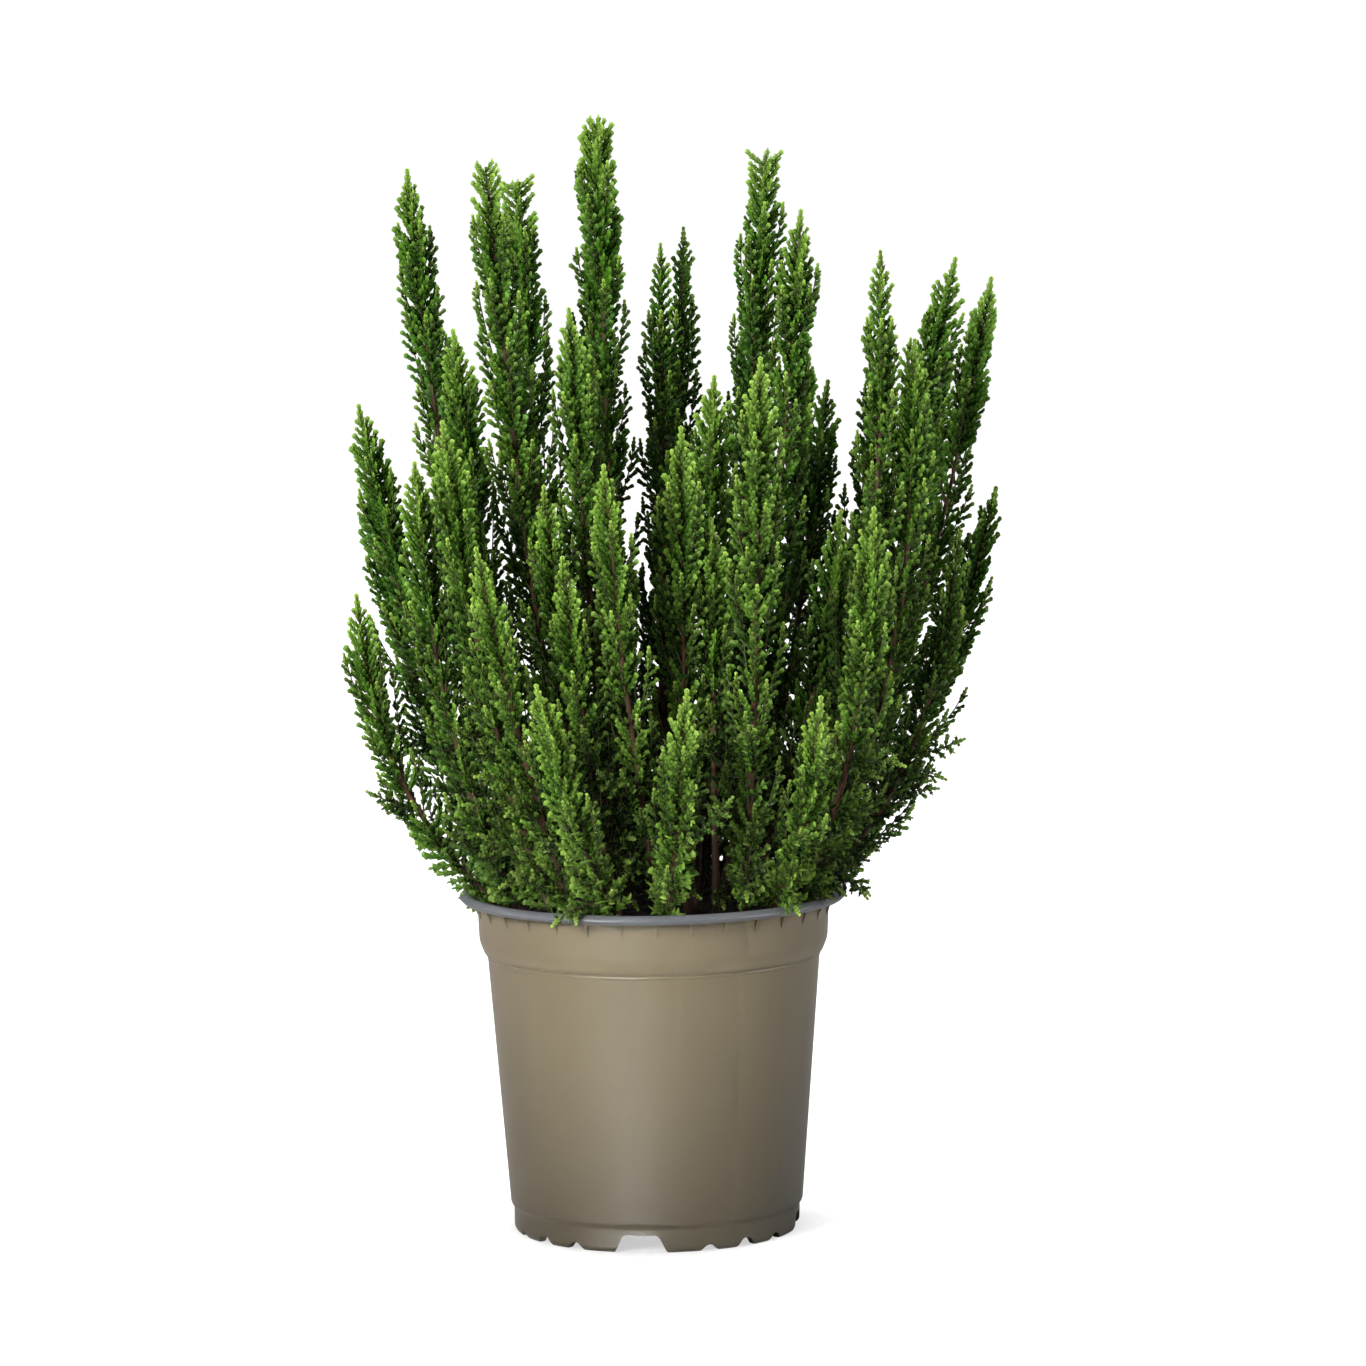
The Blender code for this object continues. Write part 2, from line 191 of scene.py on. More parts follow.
MIDDLE_STEMS = (
    (-53, 8, -111, 12, 320, 0.3), (-37, -7, -74, 3, 349, 0.4), (-39, 6, -91, 17, 410, 0.5),
    (-25, -14, -60, -15, 414, 0.3), (-12, -15, -29, -22, 358, 0.3), (-9, 2, -18, 15, 431, 0.3),
    (16, -12, 26, -12, 331, 0.3), (33, -3, 74, -2, 278, 0.5), (26, 9, 60, 6, 393, 0.4),
    (44, 4, 133, 12, 366, 0.5), (55, 13, 135, 26, 284, 0.5), (41, 16, 120, 27, 373, 0.2),
    (5, 13, 6, 25, 380, 0.3), (17, 22, 47, 20, 416, 0.4), (-22, 19, -50, 36, 406, 0.4),
    (6, 32, 15, 52, 385, 0.3), (31, 27, 71, 60, 324, 0.4),
)
BACK_STEMS = (
    (-38, 21, -84, 66, 357, 0.5), (-27, 36, -55, 76, 348, 0.4), (-11, 39, -21, 62, 372, 0.4),
    (-1, 50, 8, 92, 343, 0.5), (18, 36, 44, 66, 362, 0.4), (29, 39, 63, 87, 340, 0.5),
    (44, 30, 93, 56, 342, 0.6), (51, 23, 118, 66, 341, 0.6), (-50, 24, -112, 92, 284, 0.5),
    (-40, 38, -79, 98, 275, 0.6), (-16, 54, -15, 100, 257, 0.7), (10, 56, 40, 91, 255, 0.7),
    (23, 51, 84, 83, 265, 0.6), (39, 40, 108, 77, 240, 0.2),
)
STEMS = FRONT_STEMS + MIDDLE_STEMS + BACK_STEMS
# Stems, by their tip, whose twigs are smaller or larger than the others', and by how much
TWIG_SIZES = {(6, 25): 0.66, (15, 52): 0.62, (89, -35): 0.68, (119, -10): 0.74, (-18, 15): 1.12}
# Stems whose tip has been nipped off: how much is gone, and how far down a whole stem's twigs are
# as long as those that this one ends in
NIPPED_TIPS = {
    (-60, -15): (2.4 * MM, 17 * MM),
    (47, 20): (2.4 * MM, 15 * MM),
    (-18, 15): (4.6 * MM, 4 * MM),
    (-50, 36): (3.0 * MM, 17 * MM),
}

# Which stems each piece of foliage stands for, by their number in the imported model
CLUMPS = {
    "foliage_front_left": (1, 3, 11, 12),
    "foliage_front": (2, 4, 13, 14),
    "foliage_front_right": (5, 6, 7, 8),
    "foliage_right": (9, 10, 27, 28),
    "foliage_left": (15, 16, 17, 18),
    "foliage_middle_left": (19, 20, 21, 22),
    "foliage_middle": (23, 24, 25, 26),
    "foliage_middle_right": (29, 30, 31, 34),
    "foliage_middle_back": (32, 33, 36, 37),
    "foliage_back_left": (35, 43, 44, 45),
    "foliage_back": (38, 39, 40, 46),
    "foliage_back_right": (41, 42, 47, 48),
}

# The main stems: their seeds, how far their line wanders in mm, their vigour, and their bare foot
STEM_SEED = 100
WANDER = 0.35
STEM_VIGOUR = (1.0, 1.14)
FOOT_BARE, FOOT_LEAFY_OVER = 3 * MM, 8 * MM
# Stems that grow near the middle of the pot are bare low down
INNER_FOOT_R = 46 * MM
INNER_BARE = 42 * MM
# Below its leafy top a stem has fewer twigs of its own, because its side shoots shade them
TOP_ZONE = 58 * MM
SHELTER_FROM = 35 * MM
SHELTER_OVER = 20 * MM
SHELTERED_LOSS = 0.6

# Side shoots, which lie close along their stem and make it a column
SHOOT_FIRST = 7 * MM
SHOOT_STEP = 5.7 * MM
SHOOT_STEP_RANGE = (0.8, 1.2)
# Side shoots end this far below the stem's tip, and further on a stem with small twigs
SHOOT_BELOW_TIP = 20 * MM
SMALL_STEM_POWER = 0.6
SHOOT_SHORTEST = 18 * MM
SHOOT_LENGTHS = (24 * MM, 46 * MM)
SHOOT_OFFSETS = (8.0 * MM, 12.0 * MM)
# A shoot shorter than this lies closer to its stem, down to this share
OFFSET_LENGTH = 34 * MM
SHORT_OFFSET = 0.6
# Near the tip of its stem a shoot lies this much closer, and stands off fully this far further down
TIP_OFFSET = 0.8
OFFSET_GROWS = 80 * MM
# Where its bend lies, along the stem and away from it
SHOOT_BEND = (0.42, 0.85)
SHOOT_VIGOUR = (0.48, 0.58)
# How far a shoot's painted light differs at random from its stem's
SHOOT_PAINTED_LIGHT_SHIFTS = (-0.3, 0.35)
SHOOT_LEAD = 0.5
GOLDEN_TURN = math.radians(137.5)
LINE_STEP = 3 * MM
FEWEST_POINTS, FEWEST_THIN_POINTS = 8, 5
# A thin shoot is bare over this share of its length, and grows leafy over the next
SHOOT_BARE = 0.1
SPRAY_BARE = 0.04
LEAFY_OVER = 0.1

# Loose sprays low on the outer stems: some hang, the others rise. Lengths up and out are shares
SPRAYS = 7
HANGING_SPRAYS = 3
HANGING_PLACES = (9 * MM, 17 * MM)
HANGING_RISES = (-0.35, 0.0)
SPRAY_FOOT_R = 40 * MM
SPRAY_PLACES = (9 * MM, 75 * MM)
SPRAY_RISES = (-0.1, 0.8)
SPRAY_LENGTHS = (14 * MM, 30 * MM)
SPRAY_SWING = 0.9
SPRAY_BEND = (0.5, 0.18)
SPRAY_REACH = 0.88
SPRAY_VIGOUR = (0.46, 0.6)
SPRAY_LOOSE = 0.9
# Sprays low down get this share of their stem's painted light, and so more painted shade
SPRAY_PAINTED_LIGHT = 0.6

# Old shoots that fill the space low between the inner stems, painted dark as shade
OLD_SHOOTS = 7
OLD_PLACES = (2 * MM, 54 * MM)
OLD_LENGTHS = (22 * MM, 34 * MM)
OLD_REACHES = (7 * MM, 16 * MM)
OLD_BEND = (0.3, 0.8)
OLD_VIGOUR = 0.9

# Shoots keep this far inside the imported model's box, and clear of the rim and the soil
BOX_MARGIN = 3 * MM
RIM_CLEAR_IN, RIM_CLEAR_OUT, RIM_CLEAR_UP = 4 * MM, 0.5 * MM, 0.8 * MM
SOIL_CLEAR = 2 * MM

# Thickness of stems
STEM_R = 1.6 * MM
STEM_TIP_R = 0.45 * MM
THIN_R = 0.7 * MM
SHOOT_R = 0.42 * MM
SHOOT_TIP_R = 0.24 * MM
# Under this height twigs are loose, and on a main stem from this share at its foot
LOOSE_UNDER = 65 * MM
STEM_LOOSE = 1.1
# Distances between twigs, against the spacing that the user sets
STEM_PITCH = 0.62
SHOOT_PITCH = 0.75
OLD_PITCH = 1.0
# The bare stub at a nipped tip
STUB = 2.8 * MM
# The twigs at a nipped tip stand wider and are shorter, over this distance
FAN_ZONE = 22 * MM
FAN_HEAD = 17 * MM
FAN_SPREAD = 0.32
FAN_SHORTER = 0.2
# How far the twigs differ by chance: turn of a pair, turn of a twig, spread and size
PAIR_TURN = 0.28
TWIG_TURN = 0.22
TWIG_SPREAD = 0.14
TWIG_SCALES = (0.86, 1.1)
# How fast the twigs below a tip grow, and how much a weak shoot's leader shrinks
OPENING_POWER = 0.7
LEADER_POWER = 0.6
KEPT_ATTRIBUTES = ("position", "along", "edge", "tint", "tone", "to_tip", "vigour", "loose", "light")

# A twig that no look at the bush from these sides meets often enough is left out
LOOK_TURNS = 16
LOOK_RISES = (4, 30, 58)
LOOK_STEP = 1.6 * MM
# Every such point counts for how wide a look is
LOOK_EVERY = 50
LEAST_HITS = 8
LEAST_OLD_HITS = 2
# A twig met this often is painted as standing in full light, with no painted shade
LIGHT_HITS = 60


class Value:
    """One output of a node. An expression on numbers adds its Math nodes."""

    def __init__(self, board, socket):
        self.board = board
        self.socket = socket

    def __add__(self, other):
        return self.board.maths("ADD", self, other)

    def __sub__(self, other):
        return self.board.maths("SUBTRACT", self, other)

    def __rsub__(self, other):
        return self.board.maths("SUBTRACT", other, self)

    def __mul__(self, other):
        return self.board.maths("MULTIPLY", self, other)

    def __truediv__(self, other):
        return self.board.maths("DIVIDE", self, other)

    def __pow__(self, other):
        return self.board.maths("POWER", self, other)

    __radd__ = __add__
    __rmul__ = __mul__

    def least(self, other):
        return self.board.maths("MINIMUM", self, other)

    def most(self, other):
        return self.board.maths("MAXIMUM", self, other)

    def held(self):
        """This value kept between 0 and 1."""
        return self.least(1.0).most(0.0)

    def over(self, other):
        return self.board.maths("GREATER_THAN", self, other)

    def under(self, other):
        return self.board.maths("LESS_THAN", self, other)


class Board:
    """Adds nodes to one tree."""

    def __init__(self, tree):
        self.tree = tree

    @staticmethod
    def socket(sockets, key):
        if isinstance(key, int):
            return sockets[key]
        return next(socket for socket in sockets if socket.identifier == key)

    def fill(self, node, sockets):
        """Gives a node's sockets their values or links, by identifier or place."""
        for key, given in sockets.items():
            wanted = self.socket(node.inputs, key)
            if isinstance(given, Value):
                self.tree.links.new(given.socket, wanted)
            else:
                wanted.default_value = given

    def add(self, kind, settings=None, sockets=None):
        """One node: its settings first, then its sockets' values or links."""
        node = self.tree.nodes.new(kind)
        for name, setting in (settings or {}).items():
            setattr(node, name, setting)
        self.fill(node, sockets or {})
        return node

    def value(self, node, key=0):
        return Value(self, self.socket(node.outputs, key))

    def out(self, kind, settings=None, sockets=None, key=0):
        """One output of a new node."""
        return self.value(self.add(kind, settings, sockets), key)

    def maths(self, operation, *operands):
        return self.out("ShaderNodeMath", {"operation": operation}, dict(enumerate(operands)))

    def mix(self, share, first, second):
        """The first colour where the share is 0 and the second where it is 1."""
        colors = {"Factor_Float": share, "A_Color": first, "B_Color": second}
        return self.out("ShaderNodeMix", {"data_type": "RGBA"}, colors, "Result_Color")

    def vector(self, operation, *operands, key=0):
        return self.out("ShaderNodeVectorMath", {"operation": operation}, dict(enumerate(operands)), key)

    def scaled(self, vector, share):
        return self.out("ShaderNodeVectorMath", {"operation": "SCALE"}, {0: vector, "Scale": share})

    def between(self, first, second, angle):
        """The direction at this angle from the first, towards the second, which is square to it."""
        along = self.scaled(first, self.maths("COSINE", angle))
        return self.vector("ADD", along, self.scaled(second, self.maths("SINE", angle)))

    def named(self, name, kind="FLOAT"):
        """What a geometry carries under this name."""
        return self.out("GeometryNodeInputNamedAttribute", {"data_type": kind}, {"Name": name})

    def store(self, geometry, name, value, domain="POINT"):
        kinds = {"data_type": "FLOAT", "domain": domain}
        sockets = {"Geometry": geometry, "Name": name, "Value": value}
        return self.out("GeometryNodeStoreNamedAttribute", kinds, sockets)

    def chance(self, low, high, seed):
        sockets = {"Min_001": low, "Max_001": high, "Seed": seed}
        return self.out("FunctionNodeRandomValue", {"data_type": "FLOAT"}, sockets, "Value_001")

    def resampled(self, curve, step):
        return self.out("GeometryNodeResampleCurve", {"mode": "LENGTH"}, {"Curve": curve, "Length": step})

    def turned_to(self, upright, sideways):
        """The rotation that brings Z to the first direction and X towards the second."""
        axes = {"primary_axis": "Z", "secondary_axis": "X"}
        return self.out("FunctionNodeAxesToRotation", axes, {0: upright, 1: sideways})

    def choices(self, collection):
        return self.out(
            "GeometryNodeCollectionInfo",
            None,
            {"Collection": collection, "Separate Children": True, "Reset Children": True},
        )

    def shape_of(self, thing):
        unmoved = {"transform_space": "ORIGINAL"}
        return self.out("GeometryNodeObjectInfo", unmoved, {"Object": thing}, "Geometry")

    def copies(self, points, instance, rotation, sockets=None):
        """Copies of an instance on points."""
        places = {"Points": points, "Instance": instance, "Rotation": rotation}
        return self.out("GeometryNodeInstanceOnPoints", None, {**places, **(sockets or {})})

    def join(self, first, second):
        node = self.add("GeometryNodeJoinGeometry", None, {0: first})
        self.fill(node, {0: second})
        return self.value(node)

    def real(self, geometry):
        return self.out("GeometryNodeRealizeInstances", None, {"Geometry": geometry})

    def painted(self, geometry, material):
        return self.out("GeometryNodeSetMaterial", None, {"Geometry": geometry, "Material": material})

    def done(self, geometry):
        """Ends the tree with this geometry."""
        self.add("NodeGroupOutput", None, {0: geometry})
        return self.tree

    def mark(self, name):
        """What a mesh carries under this name, for its material."""
        return self.out("ShaderNodeAttribute", {"attribute_name": name}, key="Fac")

    def position(self):
        return self.out("ShaderNodeTexCoord", key="Object")

    def height(self, where):
        return self.out("ShaderNodeSeparateXYZ", None, {"Vector": where}, "Z")

    def stretched(self, where, scale):
        return self.out("ShaderNodeMapping", None, {"Vector": where, "Scale": scale})

    def noise(self, where, scale, detail, roughness=0.5):
        return self.out(
            "ShaderNodeTexNoise",
            None,
            {"Vector": where, "Scale": scale, "Detail": detail, "Roughness": roughness},
        )

    def bump(self, strength, distance, height):
        sockets = {"Strength": strength, "Distance": distance, "Height": height}
        return self.out("ShaderNodeBump", None, sockets)


def linear(red, green, blue):
    """A colour given in the usual 0 to 255, as Blender's linear one."""
    shares = (red / 255, green / 255, blue / 255)
    return tuple(s / 12.92 if s <= 0.04045 else ((s + 0.055) / 1.055) ** 2.4 for s in shares)


def shaded(color, share=1.0):
    """A colour made darker by a factor, with its opacity."""
    return (*(part * share for part in color), 1)


def color_property(name, description, *color):
    return bpy.props.FloatVectorProperty(
        name=name, description=description, default=linear(*color), size=3, min=0, max=1, subtype="COLOR"
    )


def number_property(name, description, default, **more):
    return bpy.props.FloatProperty(name=name, description=description, default=default, **more)


def length_property(name, description, default):
    return number_property(name, description, default, min=0, unit="LENGTH", precision=4)


def angle_property(name, description, degrees):
    return number_property(name, description, math.radians(degrees), subtype="ANGLE")


def share_property(name, description, default):
    return number_property(name, description, default, min=0, soft_max=1)


def power_property(name, description, default):
    return number_property(name, description, default, unit="POWER")


class HeatherFoliage(bpy.types.PropertyGroup):
    """Sizes and colours of the leafy stems."""

    spacing: length_property("Spacing", "Distance between pairs of twigs along a shoot", 3.0 * MM)
    tip_twig: length_property("Tip twig", "Length of the twigs at a shoot's tip", 3.0 * MM)
    twig: length_property("Twig", "Length of the twigs just below the tip", 10.0 * MM)
    low_twig: length_property("Low twig", "Length of the twigs far below the tip", 10.6 * MM)
    opens_over: length_property("Opens over", "Distance over which the twigs below a tip grow", 15 * MM)
    grows_over: length_property("Grows over", "Distance from the tip at which twigs are longest", 85 * MM)
    leader: length_property("Leader", "Length of the bead-like tip of a stem", 9.5 * MM)
    tip_spread: angle_property("Tip spread", "Angle between twig and shoot at the tip", 42)
    low_spread: angle_property("Low spread", "Angle between twig and shoot low down", 47)
    loose_spread: angle_property("Loose spread", "How much wider the twigs stand near the soil", 18)
    looseness: share_property("Looseness", "How many of the twigs near the soil are loose", 0.7)
    seed: bpy.props.IntProperty(name="Seed", description="Seed of the twigs' small differences", default=5)
    # Painted shade: the dark green of the hollows inside each twig, and of twigs that few looks reach
    shade_green: color_property("Deep green", "Leaf colour at the base of a leaf, inside the twig", 15, 42, 8)
    green: color_property("Green", "Leaf colour on the outer half of a leaf", 84, 136, 32)
    fresh: color_property("Fresh green", "Colour of the youngest leaves", 166, 200, 84)
    dull: color_property("Dull green", "Colour of the old leaves near the soil", 66, 96, 34)
    wood: color_property("Wood", "Colour of the woody stems", 84, 50, 30)
    young_wood: color_property("Young wood", "Colour of the stems near their tips", 70, 84, 28)


class HeatherPot(bpy.types.PropertyGroup):
    """Colours of the pot and soil."""

    plastic: color_property("Plastic", "Colour of the pot's wall", 108, 98, 77)
    rim: color_property("Rim", "Colour of the rolled rim", 92, 94, 98)
    soil: color_property("Soil", "Colour of the moist soil", 30, 22, 16)
    crumb: color_property("Crumb", "Colour of the driest crumbs and fibres", 74, 56, 40)
    crumbs: bpy.props.IntProperty(name="Crumbs", description="Crumbs on each square cm", default=5, min=0)


class HeatherStudio(bpy.types.PropertyGroup):
    """Camera and lights."""

    lens: number_property("Lens", "Focal length in mm", 171.3)
    key: power_property("Key", "Power of the main soft light", 88)
    top: power_property("Top", "Power of the light above", 10)
    fill: power_property("Fill", "Power of the light on the right", 36)
    low: power_property("Low", "Power of the low gridded light", 0.58)
    back: power_property("Back", "Power of each light behind", 36)
    room: share_property("Room", "Strength of the light from all round", 0.02)
    glow: share_property("Glow", "How much the floor shines by itself", 1.0)


def soil_height(radius):
    """The soil's surface: a low mound."""
    return SOIL_EDGE_Z + SOIL_RISE * (1 - (radius / RIM_INNER_R) ** 2)


def turn_plant(point):
    c, s = math.cos(PLANT_TURN), math.sin(PLANT_TURN)
    return np.array((point[0] * c - point[1] * s, point[0] * s + point[1] * c, point[2]))


def unit(vector):
    return vector / np.linalg.norm(vector)


def new_object(name, data, collection=None):
    thing = bpy.data.objects.new(name, data)
    (collection or bpy.context.scene.collection).objects.link(thing)
    return thing


def plain_object(name, points, faces, edges=(), collection=None):
    mesh = bpy.data.meshes.new(name)
    mesh.from_pydata([tuple(point) for point in points], edges, faces)
    return new_object(name, mesh, collection)


def clear(collection):
    """Removes a collection with what it holds."""
    for thing in list(collection.objects):
        bpy.data.objects.remove(thing, do_unlink=True)
    bpy.data.collections.remove(collection)


def write_numbers(mesh, numbers, kind="FLOAT", field="value"):
    for name, values in numbers.items():
        values = np.array(values, np.float32).ravel()
        mesh.attributes.new(name, kind, "POINT").data.foreach_set(field, values)


def read_all(items, field, kind=np.float32, width=1):
    """One field of all the items, as rows of this width."""
    values = np.empty(len(items) * width, kind)
    items.foreach_get(field, values)
    return values if width == 1 else values.reshape(-1, width)


def read_numbers(mesh, name):
    return np.rint(read_all(mesh.attributes[name].data, "value")).astype(int)


def reshape(mesh, change, result=None):
    """Opens a mesh for a change, and writes what comes of it back, or into another mesh."""
    shape = bmesh.new()
    shape.from_mesh(mesh)
    change(shape)
    shape.to_mesh(mesh if result is None else result)
    shape.free()


def face_outwards(shape):
    bmesh.ops.recalc_face_normals(shape, faces=shape.faces)


def merge_and_face(shape):
    bmesh.ops.remove_doubles(shape, verts=shape.verts, dist=SAME_POINT)
    face_outwards(shape)


class Stem:
    """The middle line of one leafy stem, from the soil's surface to its tip."""

    SAMPLES = 80

    def __init__(self, number):
        row = STEMS[number - 1]
        foot, tip = np.array((row[0], row[1], 0)) * MM, np.array(row[2:5]) * MM
        self.number = number
        self.gone, self.head = NIPPED_TIPS.get((row[2], row[3]), (0.0, 0.0))
        self.size = TWIG_SIZES.get((row[2], row[3]), 1.0)
        foot, tip = turn_plant(foot), turn_plant(tip)
        foot[2] = soil_height(math.hypot(foot[0], foot[1]))
        lean = (tip - foot) * (1, 1, 0)
        rise = (tip - foot) * (0, 0, 1)
        low = foot + lean * (1 / 3 + row[5] * 2 / 3) + rise / 3
        high = foot + lean * (2 / 3 + row[5] / 3) + rise * 2 / 3
        t = np.linspace(0, 1, self.SAMPLES)[:, None]
        self.line = (
            foot * (1 - t) ** 3 + low * 3 * t * (1 - t) ** 2 + high * 3 * t**2 * (1 - t) + tip * t**3
        )
        self.foot = foot
        self.is_inner = math.hypot(foot[0], foot[1]) < INNER_FOOT_R
        steps = np.linalg.norm(np.diff(self.line, axis=0), axis=1)
        self.along = np.concatenate(((0,), np.cumsum(steps)))
        self.length = self.along[-1]

    def at(self, distance):
        return np.array([np.interp(distance, self.along, self.line[:, axis]) for axis in range(3)])

    def heading(self, distance):
        return unit(self.at(min(distance + MM, self.length)) - self.at(max(distance - MM, 0)))

    def sideways(self, distance, angle):
        """The unit vector square to the stem that points to this angle round it."""
        heading = self.heading(distance)
        first = unit(np.cross(heading, (0, 1, 0)))
        return first * math.cos(angle) + np.cross(heading, first) * math.sin(angle)


class Shoots:
    """Lines of shoots, with what the node tree needs to know at each of their points."""

    NUMBERS = (
        "to_tip", "vigour", "leafy", "loose", "pitch", "thick", "tone", "turn", "lead", "head", "old",
        "line", "piece",
    )

    def __init__(self):
        self.points, self.edges, self.headings, self.outs = [], [], [], []
        self.numbers = {name: [] for name in self.NUMBERS}
        self.lines, self.piece = 0, 0

    def add(self, line, out=(0, 0, 0), **numbers):
        """A line from its base to its tip. Each number is one value, or one for each point."""
        first, count = len(self.points), len(line)
        steps = np.linalg.norm(np.diff(line, axis=0), axis=1)
        ahead = np.gradient(line, axis=0)
        self.points.extend(line)
        self.headings.extend(ahead / np.linalg.norm(ahead, axis=1)[:, None])
        self.edges.extend((first + step, first + step + 1) for step in range(count - 1))
        self.outs.extend([out] * count)
        numbers["to_tip"] = steps.sum() - np.concatenate(((0,), np.cumsum(steps)))
        numbers = {"lead": 1.0, "head": 0.0, "old": 0.0, "line": self.lines, "piece": self.piece, **numbers}
        self.lines += 1
        for name in self.NUMBERS:
            self.numbers[name].extend(np.broadcast_to(numbers[name], count))

    def add_thin(self, line, draw, out=(0, 0, 0), bare=SHOOT_BARE, **numbers):
        """A shoot that is bare at its foot and grows thinner towards its tip."""
        share = np.linspace(0, 1, len(line))
        numbers = {
            "pitch": SHOOT_PITCH,
            "lead": SHOOT_LEAD,
            "leafy": np.clip((share - bare) / LEAFY_OVER, 0, 1),
            "thick": SHOOT_R + (SHOOT_TIP_R - SHOOT_R) * share,
            "turn": draw.uniform(0, math.tau),
            **numbers,
        }
        self.add(line, out, **numbers)

    def as_object(self, name):
        lines = plain_object(name, self.points, [], self.edges)
        write_numbers(lines.data, self.numbers)
        write_numbers(lines.data, {"heading": self.headings, "open_to": self.outs}, "FLOAT_VECTOR", "vector")
        return lines


def curved(start, bend, end):
    """Points along a smooth bend, from a start to an end, towards a middle point."""
    length = np.linalg.norm(bend - start) + np.linalg.norm(end - bend)
    t = np.linspace(0, 1, max(int(length / LINE_STEP), FEWEST_THIN_POINTS))[:, None]
    return start * (1 - t) ** 2 + bend * 2 * t * (1 - t) + end * t**2


def inside_box(line):
    return bool(((line > CAD_LOW + BOX_MARGIN) & (line < CAD_HIGH - BOX_MARGIN)).all())


def clear_of_rim(line):
    """Whether a line stays off the pot's rim and above the soil. Outside the rim it may hang a little."""
    radius, height = np.hypot(line[:, 0], line[:, 1]), line[:, 2]
    at_rim = (radius > COLLAR_TOP_R - RIM_CLEAR_IN) & (radius < RIM_R + RIM_CLEAR_OUT)
    touches_rim = (at_rim & (height < RIM_TOP + RIM_CLEAR_UP)).any()
    return not touches_rim and bool((height > SOIL_EDGE_Z + SOIL_CLEAR).all())


def add_main_stem(shoots, stem, tone, draw):
    length = stem.length - stem.gone
    count = max(int(length / LINE_STEP), FEWEST_POINTS)
    places = np.linspace(0, length, count)
    line = np.array([stem.at(place) for place in places])
    wander = np.array([draw.uniform(-WANDER, WANDER) * MM for _ in range(3 * count)]).reshape(count, 3)
    wander[0] = wander[-1] = 0
    bare = INNER_BARE if stem.is_inner else FOOT_BARE
    leafy = np.clip((places - bare) / FOOT_LEAFY_OVER, 0, 1)
    sheltered = np.clip((length - places - TOP_ZONE) / SHELTER_OVER, 0, 1)
    if not stem.is_inner:
        sheltered *= np.clip((places - SHELTER_FROM) / SHELTER_OVER, 0, 1)
    stub = STUB if stem.head else 0
    shoots.add(
        line + wander,
        vigour=draw.uniform(*STEM_VIGOUR) * stem.size,
        leafy=leafy * (1 - sheltered * SHELTERED_LOSS) * (places <= length - stub),
        pitch=STEM_PITCH,
        loose=np.clip(STEM_LOOSE - places / LOOSE_UNDER, 0, 1),
        thick=STEM_R + (STEM_TIP_R - STEM_R) * places / length,
        tone=tone,
        turn=draw.uniform(0, math.tau),
        lead=0.0 if stem.head else 1.0,
        head=stem.head,
    )


def add_side_shoots(shoots, stem, tone, draw):
    """Small shoots that leave the stem and then run up beside it."""
    place, angle = INNER_BARE if stem.is_inner else SHOOT_FIRST, draw.uniform(0, math.tau)
    bare_tip, near_tip = SHOOT_BELOW_TIP / stem.size**SMALL_STEM_POWER, TIP_OFFSET * stem.size
    while place < stem.length - bare_tip - SHOOT_SHORTEST:
        length = min(draw.uniform(*SHOOT_LENGTHS), stem.length - place - bare_tip)
        out = stem.sideways(place, angle)
        reach = SHORT_OFFSET + (1 - SHORT_OFFSET) * min(length / OFFSET_LENGTH, 1.0)
        depth = min((stem.length - place - length - bare_tip) / OFFSET_GROWS, 1.0)
        offset = draw.uniform(*SHOOT_OFFSETS) * reach * (near_tip + (1 - near_tip) * depth)
        start, end = stem.at(place), stem.at(place + length) + out * offset
        along, away = SHOOT_BEND
        line = curved(start, start + stem.heading(place) * along * length + out * offset * away, end)
        if clear_of_rim(line) and inside_box(line):
            heights = place + np.linspace(0, 1, len(line)) * length
            shoots.add_thin(
                line,
                draw,
                out,
                vigour=draw.uniform(*SHOOT_VIGOUR),
                loose=np.clip(1.0 - heights / LOOSE_UNDER, 0, 1),
                tone=min(max(tone + draw.uniform(*SHOOT_PAINTED_LIGHT_SHIFTS), 0), 1),
            )
        place += SHOOT_STEP * draw.uniform(*SHOOT_STEP_RANGE)
        angle += GOLDEN_TURN


def add_low_sprays(shoots, stem, tone, draw):
    """Loose sprays that lean out, low on the stems that stand near the rim."""
    if math.hypot(stem.foot[0], stem.foot[1]) < SPRAY_FOOT_R:
        return
    outwards = math.atan2(stem.foot[1], stem.foot[0])
    for spray in range(SPRAYS):
        hangs = spray < HANGING_SPRAYS
        place = draw.uniform(*(HANGING_PLACES if hangs else SPRAY_PLACES))
        length = draw.uniform(*SPRAY_LENGTHS)
        rise = draw.uniform(*(HANGING_RISES if hangs else SPRAY_RISES))
        angle = outwards + draw.uniform(-SPRAY_SWING, SPRAY_SWING)
        out, up = np.array((math.cos(angle), math.sin(angle), 0)), np.array((0, 0, 1))
        start = stem.at(place)
        bend = start + out * SPRAY_BEND[0] * length + up * (SPRAY_BEND[1] * length)
        line = curved(start, bend, start + out * SPRAY_REACH * length + up * (rise * length))
        if clear_of_rim(line) and inside_box(line):
            looks = {"vigour": draw.uniform(*SPRAY_VIGOUR), "loose": SPRAY_LOOSE, "tone": tone * SPRAY_PAINTED_LIGHT}
            shoots.add_thin(line, draw, bare=SPRAY_BARE, **looks)


